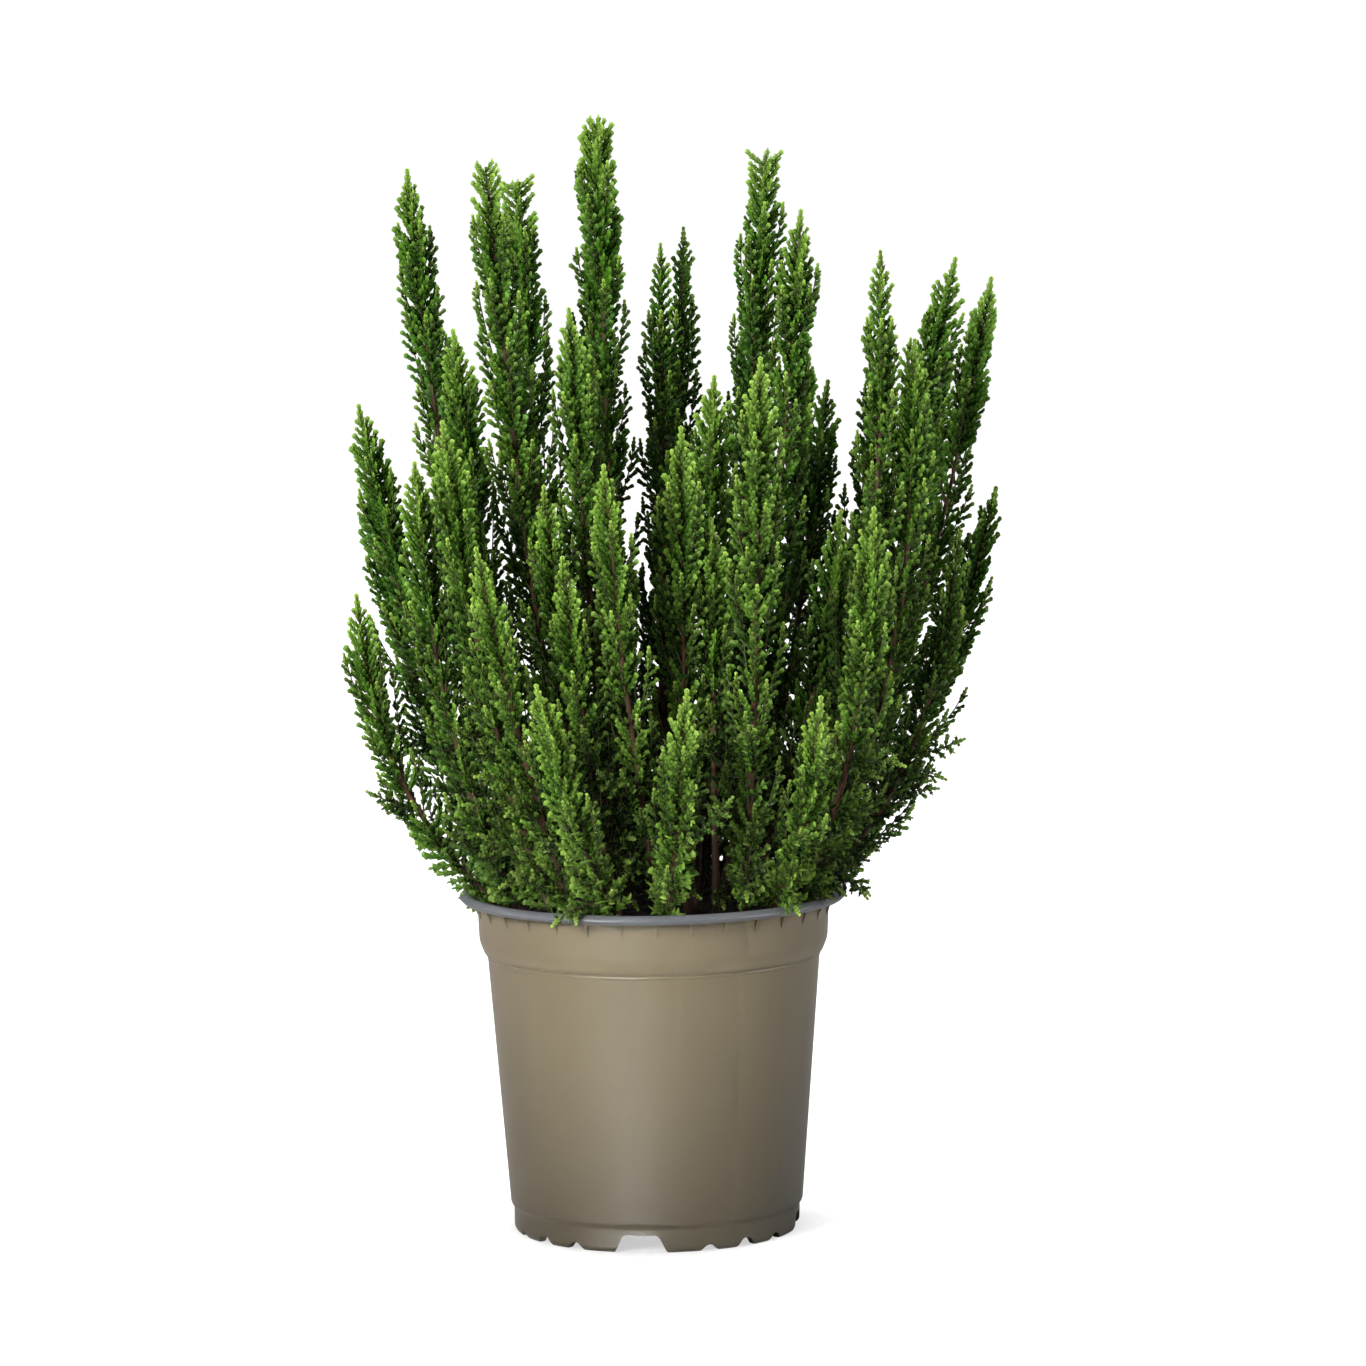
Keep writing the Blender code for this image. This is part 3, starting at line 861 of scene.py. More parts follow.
def add_old_shoots(shoots, stem, draw):
    """Sparse old shoots in the shade, low on the stems that stand inside the bush."""
    if not stem.is_inner:
        return
    for _ in range(OLD_SHOOTS):
        place, length = draw.uniform(*OLD_PLACES), draw.uniform(*OLD_LENGTHS)
        out = stem.sideways(place, draw.uniform(0, math.tau)) * draw.uniform(*OLD_REACHES)
        start = stem.at(place)
        bend = start + stem.heading(place) * OLD_BEND[0] * length + out * OLD_BEND[1]
        line = curved(start, bend, stem.at(place + length) + out)
        if clear_of_rim(line):
            # Old shoots get no painted light, so their green is painted dark as shade
            looks = {"vigour": OLD_VIGOUR, "pitch": OLD_PITCH, "loose": 1.0, "tone": 0.0}
            shoots.add_thin(line, draw, lead=0.0, old=1.0, **looks)


class Twig:
    """One leafy twig of a given length along Z from its base, curling towards X."""

    # Its width at the base, against its widest, and how far the hollows between leaves lie back
    BASE_R = 0.7
    BACKWARD = 0.26
    # Where the first ring of leaves sits, and what the tip takes up, in rings
    FIRST_RING, TIP_RINGS = 0.75, 0.6
    # How much a curl shortens it, and how fast it narrows above its widest place
    CURL_SHORTENS, NARROWS = 0.1, 1.5
    # How far out on a leaf the hollows and the tip count, for painted shade in the hollows and painted light
    # on the tip
    HOLLOW_EDGE, TIP_EDGE = 0.15, 0.9

    def __init__(self, length, curl=0.0, widest=0.5, end=0.62):
        self.length, self.curl, self.widest, self.end = length, curl, widest, end
        self.points, self.faces = [], []
        self.marks = {"along": [], "edge": []}

    def place(self, share):
        rise = self.length * share * (1 - self.CURL_SHORTENS * self.curl)
        return Vector((self.curl * self.length * share**2, 0, rise))

    def ahead(self, share):
        return (self.place(share + 0.01) - self.place(share)).normalized()

    def width(self, share):
        """How wide the twig is here, against its widest place."""
        if share < self.widest:
            return self.BASE_R + (1 - self.BASE_R) * math.sin(share / self.widest * math.pi / 2)
        return 1 - (1 - self.end) * ((share - self.widest) / (1 - self.widest)) ** self.NARROWS

    def beads(self, radius, rings, inner, forward):
        """Plump leaves in close pairs, each pair square to the one below: four faces for each leaf."""
        length_in_rings = rings + self.TIP_RINGS
        step = self.length / length_in_rings
        points, edges, along = [self.place(0)], [0.0], [0.0]
        for ring in range(rings):
            share = (ring + self.FIRST_RING) / length_in_rings
            ahead = self.ahead(share)
            across = ahead.cross(Vector((0, 1, 0))).normalized()
            wide = radius * self.width(share)
            for side, out in enumerate((across, Vector((0, 1, 0)), -across, Vector((0, -1, 0)))):
                leaf = side % 2 == ring % 2
                reach = wide if leaf else wide * inner
                shift = forward if leaf else -self.BACKWARD
                points.append(self.place(share) + out * reach + ahead * step * shift)
                edges.append(1.0 if leaf else self.HOLLOW_EDGE)
                along.append(share)
        points.append(self.place(1.0))
        self.marks = {"along": [*along, 1.0], "edge": [*edges, self.TIP_EDGE]}
        end = len(points) - 1
        faces = []
        for side in range(4):
            after = (side + 1) % 4
            faces += [(0, 1 + after, 1 + side), (end, end - 4 + side, end - 4 + after)]
            for ring in range(rings - 1):
                low, low_after = 1 + 4 * ring + side, 1 + 4 * ring + after
                high, high_after = low + 4, low_after + 4
                if side % 2 == ring % 2:
                    faces += [(low, low_after, high), (low_after, high_after, high)]
                else:
                    faces += [(low, low_after, high_after), (low, high_after, high)]
        self.points, self.faces = points, faces

    def as_object(self, name, collection=None, drop=0.0):
        """The twig scaled to a length of one, so that its scale is its real length."""
        size = 1 / self.length
        points = [point * size - Vector((0, 0, drop)) for point in self.points]
        twig = plain_object(name, points, self.faces, collection=collection)
        write_numbers(twig.data, self.marks)
        reshape(twig.data, face_outwards)
        return twig


# Twigs, as (length in mm, radius, rings of leaves, curl, how far the twig sinks in between its leaves,
# how far the leaves point forward). The dense ones are each used from their start upwards.
DENSE_TWIGS = (
    (2.8, 0.86, 2, 0.05, 0.55, 0.36),
    (4.7, 1.06, 3, 0.14, 0.55, 0.42),
    (6.8, 1.28, 5, 0.17, 0.54, 0.46),
    (9.4, 1.46, 7, 0.2, 0.54, 0.46),
)
DENSE_STARTS = (0.0, 3.5, 5.7, 8.0)
# Near the soil the leaves stand off like needles, and longer ones are used from this length upwards
LOOSE_TWIGS = ((4.0, 1.35, 4, 0.05, 0.28, 0.6), (7.0, 1.6, 6, 0.08, 0.24, 0.6))
LOOSE_LONG = 5.2
# In the shade low inside the bush
OLD_TWIG = (10.0, 1.55, 3, 0.1, 0.45, 0.6)
# Twigs of a side shoot that point at its own stem this squarely are left out
HIDDEN_SIDE = -0.4
# The bead-like tip of a stem, its shape, and how much of it stands free above the first twigs
LEADER = (9.5, 1.7, 7, 0.0, 0.6, 0.3)
LEADER_WIDEST, LEADER_END, LEADER_DROP = 0.3, 0.42, 0.94
LEADER_FREE = 0.8
# A point this near its line's tip is the tip
AT_TIP = 0.2 * MM


def make_twig(name, row, collection=None, drop=0.0, **shape):
    length, radius, rings, curl, inner, forward = row
    twig = Twig(length * MM, curl, **shape)
    twig.beads(radius * MM, rings, inner, forward)
    return twig.as_object(name, collection, drop)


def make_twigs():
    """The twigs that the node tree picks from, the dense ones first, and the leader."""
    collection = bpy.data.collections.new("twigs")
    for number, row in enumerate((*DENSE_TWIGS, *LOOSE_TWIGS, OLD_TWIG)):
        make_twig(f"twig_{number}", row, collection)
    leader = make_twig("twig_leader", LEADER, drop=LEADER_DROP, widest=LEADER_WIDEST, end=LEADER_END)
    return collection, leader


def open_group(name, sockets):
    """A geometry node group with these inputs, by name and kind, and one geometry output."""
    tree = bpy.data.node_groups.new(name, "GeometryNodeTree")
    tree.interface.new_socket("Geometry", in_out="OUTPUT", socket_type="NodeSocketGeometry")
    for label, kind in {"Geometry": "Geometry", **sockets}.items():
        tree.interface.new_socket(label, in_out="INPUT", socket_type="NodeSocket" + kind)
    board = Board(tree)
    entry = board.add("NodeGroupInput")
    return board, {socket.name: Value(board, socket) for socket in entry.outputs}


def run_group(host, tree, values):
    """Sets the group's inputs on a modifier, and turns the result into the object's plain mesh."""
    modifier = host.modifiers.new(tree.name, "NODES")
    modifier.node_group = tree
    for item in tree.interface.items_tree:
        if item.in_out == "INPUT" and item.name in values:
            modifier[item.identifier] = values[item.name]
    graph = bpy.context.evaluated_depsgraph_get()
    mesh = bpy.data.meshes.new_from_object(
        host.evaluated_get(graph), preserve_all_data_layers=True, depsgraph=graph
    )
    host.modifiers.remove(modifier)
    old, host.data = host.data, mesh
    mesh.name = host.name
    if old.users == 0:
        bpy.data.meshes.remove(old)
    return host


# Sides and step length of the wood: first thick stems, then thin shoots
WOOD_DETAIL = ((6, 6 * MM), (3, 9 * MM))
# The sizes that the user sets and the tree takes, by their names in the panel
LEAFY_SIZES = (
    "Spacing", "Tip twig", "Twig", "Low twig", "Opens over", "Grows over", "Leader", "Tip spread",
    "Low spread", "Loose spread", "Looseness",
)
LEAFY_PARTS = {"Seed": "Int", "Twigs": "Collection", "Bead": "Object", "Leaf": "Material", "Bark": "Material"}


def leafy_tree():
    """Twigs in crossed pairs along each line, a leader at each tip, and the woody line itself."""
    board, given = open_group("leafy_shoots", {**dict.fromkeys(LEAFY_SIZES, "Float"), **LEAFY_PARTS})
    seed = given["Seed"]
    heading = board.vector("NORMALIZE", board.named("heading", "FLOAT_VECTOR"))
    first = board.vector("NORMALIZE", board.vector("CROSS_PRODUCT", heading, (0.0, 1.0, 0.0)))
    second = board.vector("CROSS_PRODUCT", heading, first)
    to_tip, loose, vigour = board.named("to_tip"), board.named("loose"), board.named("vigour")
    lead, head = board.named("lead"), board.named("head")

    lines = board.out("GeometryNodeMeshToCurve", None, {"Mesh": given["Geometry"]})
    spaced = board.resampled(lines, board.named("pitch") * given["Spacing"])
    step = board.out("GeometryNodeSplineParameter", key="Index")
    crossed = board.named("turn") + step * (math.pi / 2) + board.chance(-PAIR_TURN, PAIR_TURN, seed + 1)
    marked = board.store(spaced, "crossed", crossed)
    two = {"Geometry": marked, "Amount": 2}
    doubled = board.add("GeometryNodeDuplicateElements", {"domain": "POINT"}, two)
    angle = board.named("crossed") + board.value(doubled, 1) * math.pi
    angle = angle + board.chance(-TWIG_TURN, TWIG_TURN, seed + 2)
    outwards = board.between(first, second, angle)

    free = given["Leader"] * vigour**LEADER_POWER
    below = to_tip + head - free * lead * LEADER_FREE
    grown = (below / (given["Opens over"] * vigour)).held() ** OPENING_POWER
    fan = (head / FAN_HEAD * (1 - to_tip / FAN_ZONE)).held()
    length = given["Tip twig"] + (given["Twig"] - given["Tip twig"]) * grown
    length = length + (given["Low twig"] - given["Twig"]) * (to_tip / given["Grows over"]).held()
    length = length * vigour * board.chance(*TWIG_SCALES, seed + 3) * (1 - fan * FAN_SHORTER)
    spread = given["Tip spread"] + (given["Low spread"] - given["Tip spread"]) * grown
    spread = spread + loose * given["Loose spread"] + fan * FAN_SPREAD
    spread = spread + board.chance(-TWIG_SPREAD, TWIG_SPREAD, seed + 4)
    direction = board.between(heading, outwards, spread)

    dense = sum(length.over(start * MM) for start in DENSE_STARTS[1:])
    is_loose = board.chance(0.0, 1.0, seed + 5).under(loose * given["Looseness"])
    loose_kind, old_kind = len(DENSE_TWIGS), len(DENSE_TWIGS) + len(LOOSE_TWIGS)
    picked = dense + (loose_kind + length.over(LOOSE_LONG * MM) - dense) * is_loose
    picked = picked + (old_kind - picked) * board.named("old")
    facing = board.vector("DOT_PRODUCT", outwards, board.named("open_to", "FLOAT_VECTOR"), key="Value")
    grows = board.chance(0.0, 1.0, seed + 6).under(board.named("leafy")) * below.over(0.0)
    chosen = {
        "Selection": grows * facing.over(HIDDEN_SIDE),
        "Pick Instance": True,
        "Instance Index": picked,
        "Scale": length,
    }
    pairs, kinds = board.value(doubled), board.choices(given["Twigs"])
    twigs = board.copies(pairs, kinds, board.turned_to(direction, heading), chosen)
    at_tip = to_tip.under(AT_TIP) * lead.over(0.1)
    bead, upright = board.shape_of(given["Bead"]), board.turned_to(heading, first)
    leaders = board.copies(spaced, bead, upright, {"Selection": at_tip, "Scale": free})
    leaves = board.store(board.join(twigs, leaders), "tint", board.chance(0.0, 1.0, seed + 7), "INSTANCE")
    leaves = board.store(leaves, "twig", board.out("GeometryNodeInputIndex") + 1, "INSTANCE")
    leaves = board.painted(board.real(leaves), given["Leaf"])

    thick_first = {"Geometry": lines, "Selection": board.named("thick").over(THIN_R)}
    sorted_lines = board.add("GeometryNodeSeparateGeometry", {"domain": "CURVE"}, thick_first)
    woods = []
    for part, (sides, step) in enumerate(WOOD_DETAIL):
        circle = {"Resolution": sides, "Radius": 1.0}
        swept = {
            "Curve": board.resampled(board.value(sorted_lines, part), step),
            "Profile Curve": board.out("GeometryNodeCurvePrimitiveCircle", {"mode": "RADIUS"}, circle),
            "Scale": board.named("thick"),
            "Fill Caps": True,
        }
        woods.append(board.out("GeometryNodeCurveToMesh", None, swept))
    return board.done(board.join(leaves, board.painted(board.join(*woods), given["Bark"])))


def new_finish(name, roughness):
    """A material with its tree's board, its shader and the shader's sockets still plain."""
    material = bpy.data.materials.new(name)
    material.use_nodes = True
    board = Board(material.node_tree)
    shader = material.node_tree.nodes["Principled BSDF"]
    board.fill(shader, {"Roughness": roughness})
    return material, board, shader


# The youngest leaves and the green wood, down from a tip, and how much painted shade darkens a leaf that few
# looks reach
YOUNG_LEAVES = 32 * MM
YOUNG_WOOD = 28 * MM
PAINTED_SHADE_SHARE, PAINTED_SHADE_DARK = 0.95, 0.3


def leaf_finish(colors):
    """Painted shade inside each twig and painted light on its leaves' edges, palest in the youngest growth.
    """
    material, board, shader = new_finish("heather_leaves", 0.5)
    along, edge, tint, tone = (board.mark(name) for name in ("along", "edge", "tint", "tone"))
    shade_green = shaded(colors.shade_green)
    young = (1 - board.mark("to_tip") / (board.mark("vigour") * YOUNG_LEAVES)).held()
    # Painted shade in the twig's hollows and near its base, painted light on the leaves' edges and its end
    lit = (edge * 0.62 + along * 0.35 + 0.05).held() ** 1.3
    old = (board.mark("loose") * (0.35 + tint * 0.5)).held()
    leaf = board.mix(lit, shade_green, shaded(colors.green))
    leaf = board.mix(old, leaf, board.mix(lit, shade_green, shaded(colors.dull)))
    # Fresh green for the youngest growth, and also as painted light on lit leaf edges and on front stems
    fresh = (lit * (young * 0.75 + along * 0.28 * tone + (tone - 0.4) * 0.3 + (tint - 0.5) * 0.25)).held()
    leaf = board.mix(fresh, leaf, shaded(colors.fresh))
    # Painted shade: leaves of twigs that few looks reach are painted darker
    leaf = board.mix((1 - board.mark("light")) * PAINTED_SHADE_SHARE, leaf, shaded(colors.shade_green, PAINTED_SHADE_DARK))
    board.fill(shader, {"Base Color": leaf, "Roughness": 0.58 - lit * 0.16, "Specular IOR Level": 0.18})
    return material


# Shoots less vigorous than this stay green
THIN_VIGOUR = 0.61


def bark_finish(colors):
    """Reddish brown wood that turns green towards the tip, and is painted darker near the soil as shade."""
    material, board, shader = new_finish("heather_bark", 0.75)
    where = board.position()
    grain = board.noise(board.stretched(where, (900.0, 900.0, 160.0)), 1.0, 3.0)
    thin = board.mark("vigour").under(THIN_VIGOUR)
    young = (1 - board.mark("to_tip") / YOUNG_WOOD).held().most(thin * 0.75)
    wood = board.mix((grain * 1.6 - 0.3).held(), shaded(colors.wood, 0.4), shaded(colors.wood))
    wood = board.mix(young, wood, shaded(colors.young_wood))
    # Painted shade: darker towards the soil
    low_shade = (1 - (board.height(where) - SOIL_EDGE_Z) / PAINTED_SHADE_ABOVE_SOIL).held()
    wood = board.mix(low_shade * 0.85, wood, shaded(colors.wood, 0.2))
    board.fill(shader, {"Base Color": wood, "Normal": board.bump(0.5, 0.3 * MM, grain)})
    return material


# Painted light on a stem's green: its value in the middle of the bush, how far further back it is a full step
# darker, and the least
MIDDLE_PAINTED_LIGHT, PAINTED_LIGHT_DEPTH, LEAST_PAINTED_LIGHT = 0.55, 160, 0.15


def stem_painted_light(stem):
    """Painted light on a stem's green: stems further to the front are paler and fresher."""
    row = STEMS[stem.number - 1]
    return min(max(MIDDLE_PAINTED_LIGHT - row[3] / PAINTED_LIGHT_DEPTH, LEAST_PAINTED_LIGHT), 1.0)


def picked_tree():
    """The part of the bush that belongs to one piece, without what is marked as out of sight."""
    board, given = open_group("one_piece", {"Piece": "Float"})
    piece, half = board.named("piece"), 0.5
    same = piece.over(given["Piece"] - half) * piece.under(given["Piece"] + half)
    chosen = {"Geometry": given["Geometry"], "Selection": same * board.named("kept")}
    return board.done(board.out("GeometryNodeSeparateGeometry", {"domain": "POINT"}, chosen))


def looks_at(points):
    """Rays from many sides across a cloud of points, as (start, direction)."""
    middle = (points.min(axis=0) + points.max(axis=0)) / 2
    sides = [(0.0, 90.0)]
    for rise in LOOK_RISES:
        sides += [(math.tau * turn / LOOK_TURNS + PLANT_TURN, rise) for turn in range(LOOK_TURNS)]
    for turn, rise in sides:
        up = math.radians(rise)
        towards = Vector((math.cos(up) * math.sin(turn), -math.cos(up) * math.cos(turn), math.sin(up)))
        across = Vector((math.cos(turn), math.sin(turn), 0))
        over = towards.cross(across)
        flat = (points - middle) @ np.array((across, over)).T
        low, high = flat.min(axis=0), flat.max(axis=0)
        for x in np.arange(low[0], high[0], LOOK_STEP):
            column = Vector(middle) + towards + across * x
            for y in np.arange(low[1], high[1], LOOK_STEP):
                yield column + over * y, -towards


def mark_sight(bush):
    """Marks each vertex by whether its twig or wood can be seen from any side, and how much painted light it
    gets.
    """
    mesh = bush.data
    twig, line = read_numbers(mesh, "twig"), read_numbers(mesh, "line")
    corners = read_all(mesh.loops, "vertex_index", np.int32)
    firsts = read_all(mesh.polygons, "loop_start", np.int32)
    points = read_all(mesh.vertices, "co", width=3)[::LOOK_EVERY]
    cast = BVHTree.FromObject(bush, bpy.context.evaluated_depsgraph_get()).ray_cast
    hits = [cast(start, towards)[2] for start, towards in looks_at(points)]
    met = corners[firsts[np.array([face for face in hits if face is not None])]]
    twig_hits = np.bincount(twig[met], minlength=twig.max() + 1)
    least = np.full(len(twig_hits), LEAST_HITS)
    least[twig[read_numbers(mesh, "old") == 1]] = LEAST_OLD_HITS
    seen_twig = twig_hits >= least
    seen_twig[0] = False
    seen = seen_twig[twig]
    seen_line = np.zeros(line.max() + 1, bool)
    seen_line[line[seen]] = True
    seen_line[line[met[twig[met] == 0]]] = True
    kept = seen | ((twig == 0) & seen_line[line])
    # How much painted light a twig's leaves get, by how often looks reach it
    light = np.clip(twig_hits / LIGHT_HITS, 0, 1)[twig]
    write_numbers(mesh, {"kept": kept, "light": light})


def grow_bush(tree, values):
    """All the leafy stems as one mesh, with the number of its piece on each point."""
    shoots = Shoots()
    for piece, numbers in enumerate(CLUMPS.values()):
        shoots.piece = piece
        for number in numbers:
            stem, draw = Stem(number), random.Random(STEM_SEED + number)
            tone = stem_painted_light(stem)
            add_main_stem(shoots, stem, tone, draw)
            add_side_shoots(shoots, stem, tone, draw)
            add_low_sprays(shoots, stem, tone, draw)
            add_old_shoots(shoots, stem, draw)
    bush = run_group(shoots.as_object("bush"), tree, values)
    mark_sight(bush)
    return bush


def make_clump(name, piece, bush, tree):
    clump = run_group(new_object(name, bush.data), tree, {"Piece": float(piece)})
    mesh = clump.data
    for label in [attribute.name for attribute in mesh.attributes]:
        attribute = mesh.attributes[label]
        if attribute.data_type in ("FLOAT", "FLOAT_VECTOR") and label not in KEPT_ATTRIBUTES:
            mesh.attributes.remove(attribute)
    keep_inside(mesh)
    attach(clump, BODY)
    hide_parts(*(f"leafy_stem_{number:02d}" for number in CLUMPS[name]))


def keep_inside(mesh):
    """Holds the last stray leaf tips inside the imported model's box."""
    places = np.clip(read_all(mesh.vertices, "co", width=3), CAD_LOW, CAD_HIGH)
    mesh.vertices.foreach_set("co", places.astype(np.float32).ravel())
    mesh.update()


# An arc takes up at most this share of the edges beside it
MOST_OF_EDGE = 0.48


def rounded(corners, steps=4):
    """An outline whose corners, given as (x, z, radius), are replaced by arcs of a few points."""
    outline = []
    for index, (x, z, radius) in enumerate(corners):
        here = Vector((x, z))
        if radius == 0:
            outline.append(here)
            continue
        before, after = Vector(corners[index - 1][:2]), Vector(corners[(index + 1) % len(corners)][:2])
        inward, onward = (before - here), (after - here)
        reach = min(radius, inward.length * MOST_OF_EDGE, onward.length * MOST_OF_EDGE)
        start, end = here + inward.normalized() * reach, here + onward.normalized() * reach
        for step in range(steps + 1):
            t = step / steps
            outline.append(start * (1 - t) ** 2 + here * 2 * t * (1 - t) + end * t**2)
    return outline


def turned(name, outline, sides):
    """A closed body turned about Z from an outline whose first and last points are on the axis."""
    points, faces = [(0, 0, outline[0][1])], []
    for radius, z in outline[1:-1]:
        for side in range(sides):
            angle = math.tau * side / sides
            points.append((radius * math.cos(angle), radius * math.sin(angle), z))
    points.append((0, 0, outline[-1][1]))
    last_ring = 1 + (len(outline) - 3) * sides
    for side in range(sides):
        after = (side + 1) % sides
        faces.append((0, 1 + side, 1 + after))
        faces.append((len(points) - 1, last_ring + after, last_ring + side))
        for ring in range(1, last_ring, sides):
            faces.append((ring + side, ring + sides + side, ring + sides + after, ring + after))
    thing = plain_object(name, points, faces)
    reshape(thing.data, merge_and_face)
    return thing


def inner_wall_r(z):
    """The radius of the pot's inner face, below the rim."""
    share = (z - BODY_LOW_Z) / (BODY_TOP_Z - BODY_LOW_Z)
    body = BODY_LOW_R + share * (BODY_TOP_R - BODY_LOW_R) - WALL
    if z <= BODY_TOP_Z:
        return body
    share = min((z - BODY_TOP_Z) / (COLLAR_Z - BODY_TOP_Z), 1)
    return body * (1 - share) + (COLLAR_R - WALL) * share


def pot_outline():
    """The pot's section, from its floor round the foot, wall and rim, as (radius, height, rounding)."""
    floor_top = FLOOR_UNDER_Z + WALL
    corners = (
        (0, FLOOR_UNDER_Z, 0),
        (FOOT_LOW_R - FOOT_WALL, FLOOR_UNDER_Z, 0.6 * MM),
        (FOOT_LOW_R - FOOT_WALL, 0, 0.7 * MM),
        (FOOT_LOW_R, 0, 0.8 * MM),
        (FOOT_R, 1.6 * MM, 1.0 * MM),
        (FOOT_R, FOOT_STEP_Z, 0.7 * MM),
        (BODY_LOW_R, BODY_LOW_Z, 0.8 * MM),
        (BODY_TOP_R - 0.05 * MM, BODY_TOP_Z - 0.5 * MM, 0.3 * MM),
        (BODY_TOP_R + BEAD_OUT, BODY_TOP_Z, 0.3 * MM),
        (BODY_TOP_R + 0.15 * MM, BODY_TOP_Z + 0.7 * MM, 0.15 * MM),
        (BODY_TOP_R + 1.2 * MM, BODY_TOP_Z + 1.6 * MM, 0.5 * MM),
        (COLLAR_R, COLLAR_Z + 1.2 * MM, 2.0 * MM),
        (COLLAR_TOP_R, RIM_LOW, 0.5 * MM),
        (RIM_R - 1.6 * MM, RIM_LOW, 0.4 * MM),
        (RIM_R, RIM_LOW + 1.6 * MM, 1.4 * MM),
        (RIM_R - 0.65 * MM, RIM_TOP - 1.3 * MM, 0.9 * MM),
        (RIM_R - 2.6 * MM, RIM_TOP, 1.2 * MM),
        (RIM_INNER_R, RIM_TOP - 0.65 * MM, 1.2 * MM),
        (COLLAR_TOP_R - WALL, RIM_LOW, 1.6 * MM),
        (inner_wall_r(COLLAR_Z), COLLAR_Z, 1.2 * MM),
        (inner_wall_r(BODY_TOP_Z), BODY_TOP_Z, 1.2 * MM),
        (inner_wall_r(floor_top), floor_top, 1.2 * MM),
        (0, floor_top, 0),
    )
    return rounded(corners)


def prism(name, outline, low, high):
    """A straight prism from two matching loops of points, one at each end."""
    count = len(outline)
    points = [low(corner) for corner in outline] + [high(corner) for corner in outline]
    faces = [tuple(range(count)), tuple(range(count, 2 * count))]
    for corner in range(count):
        after = (corner + 1) % count
        faces.append((corner, after, count + after, count + corner))
    thing = plain_object(name, points, faces)
    reshape(thing.data, merge_and_face)
    return thing


def foot_notches():
    """Cutters through the foot ring, wide side down, that leave lobes with rounded feet."""
    inner, outer = FOOT_LOW_R - 2 * FOOT_WALL, FOOT_R + CUT_PAST
    under, skin = -CUT_PAST, -0.03 * MM
    cutters = []
    for quarter in range(QUARTERS):
        for degrees, wide, narrow, height in NOTCHES:
            angle = FRONT + POT_TURN + quarter * math.tau / QUARTERS - math.radians(degrees)
            out = Vector((math.cos(angle), math.sin(angle), 0))
            side = Vector((-math.sin(angle), math.cos(angle), 0))
            past = wide / 2 + LOBE_ROUND
            outline = rounded(
                (
                    (-past, under, 0),
                    (past, under, 0),
                    (past, skin, 0),
                    (wide / 2, skin, LOBE_ROUND),
                    (narrow / 2, height, LOBE_ROUND),
                    (-narrow / 2, height, LOBE_ROUND),
                    (-wide / 2, skin, LOBE_ROUND),
                    (-past, skin, 0),
                )
            )

            def at(radius, out=out, side=side):
                return lambda corner: out * radius + side * corner[0] + Vector((0, 0, corner[1]))

            cutters.append(prism("notch", outline, at(inner), at(outer)))
    return cutters


def drain_holes():
    cutters = []
    angles = [math.tau * side / DRAIN_SIDES for side in range(DRAIN_SIDES)]
    outline = [(math.cos(angle), math.sin(angle)) for angle in angles]
    for hole in range(DRAINS):
        turn = POT_TURN + math.tau * (hole + 0.5) / DRAINS
        centre = Vector((math.cos(turn), math.sin(turn), 0)) * DRAIN_RING_R

        def at(z, centre=centre):
            return lambda corner: centre + Vector((corner[0] * DRAIN_R, corner[1] * DRAIN_R, z))

        low, high = at(FLOOR_UNDER_Z - CUT_PAST), at(FLOOR_UNDER_Z + WALL + CUT_PAST)
        cutters.append(prism("drain", outline, low, high))
    return cutters


def cut_away(body, cutters):
    group = bpy.data.collections.new("cuts")
    for cutter in cutters:
        bpy.context.scene.collection.objects.unlink(cutter)
        group.objects.link(cutter)
    cut = body.modifiers.new("cuts", "BOOLEAN")
    cut.operation = "DIFFERENCE"
    cut.operand_type = "COLLECTION"
    cut.collection = group
    graph = bpy.context.evaluated_depsgraph_get()
    made = bpy.data.meshes.new_from_object(body.evaluated_get(graph))
    body.modifiers.remove(cut)
    body.data = made
    clear(group)


def paint(mesh, *materials):
    mesh.materials.clear()
    for material in materials:
        mesh.materials.append(material)


def smooth(mesh, degrees):
    mesh.shade_smooth()
    mesh.set_sharp_from_angle(angle=math.radians(degrees))


# How much darker the pot is painted towards its foot, as shade, and how much paler a worn place and the
# painted light on the ledge are
FOOT_PAINTED_SHADE = 0.2
PALER, PALEST = 1.25, 0.01


def plastic_finish(name, color, scuff):
    """Moulded plastic: a fine grain, faint clouding, a few scuffs, painted light on the ledge and painted
    shade towards the foot.
    """
    material, board, shader = new_finish(name, 0.42)
    where = board.position()
    clouds = board.noise(where, 26.0, 4.0, 0.6)
    grain = board.noise(where, 900.0, 2.0)
    streaks = board.noise(board.stretched(where, (60.0, 60.0, 8.0)), 1.0, 5.0)
    worn = ((streaks - 0.58) * 4).held() * scuff
    wear_and_light_pale = (*(min(part * PALER + PALEST, 1) for part in color), 1)
    height = board.height(where)
    middle = (COLLAR_Z + BODY_TOP_Z) / 2 + LEDGE_HIGHER
    ledge_light = (1 - (height - middle).most(middle - height) / LEDGE_HALF).held()
    tone = board.mix((clouds * 1.4 - 0.2).held(), shaded(color, 0.86), shaded(color))
    tone = board.mix(worn, tone, wear_and_light_pale)
    # Painted shade: darker from the rim down to the foot
    tone = board.mix((1 - height / RIM_TOP).held(), tone, shaded(color, FOOT_PAINTED_SHADE))
    # Painted light on the ledge under the collar
    tone = board.mix(ledge_light * LEDGE_PAINTED_LIGHT, tone, wear_and_light_pale)
    rough = 0.33 + clouds * 0.08 + worn * 0.15
    bump = board.bump(0.12, 0.2 * MM, grain + clouds)
    board.fill(shader, {"Base Color": tone, "Roughness": rough, "Normal": bump})
    return material


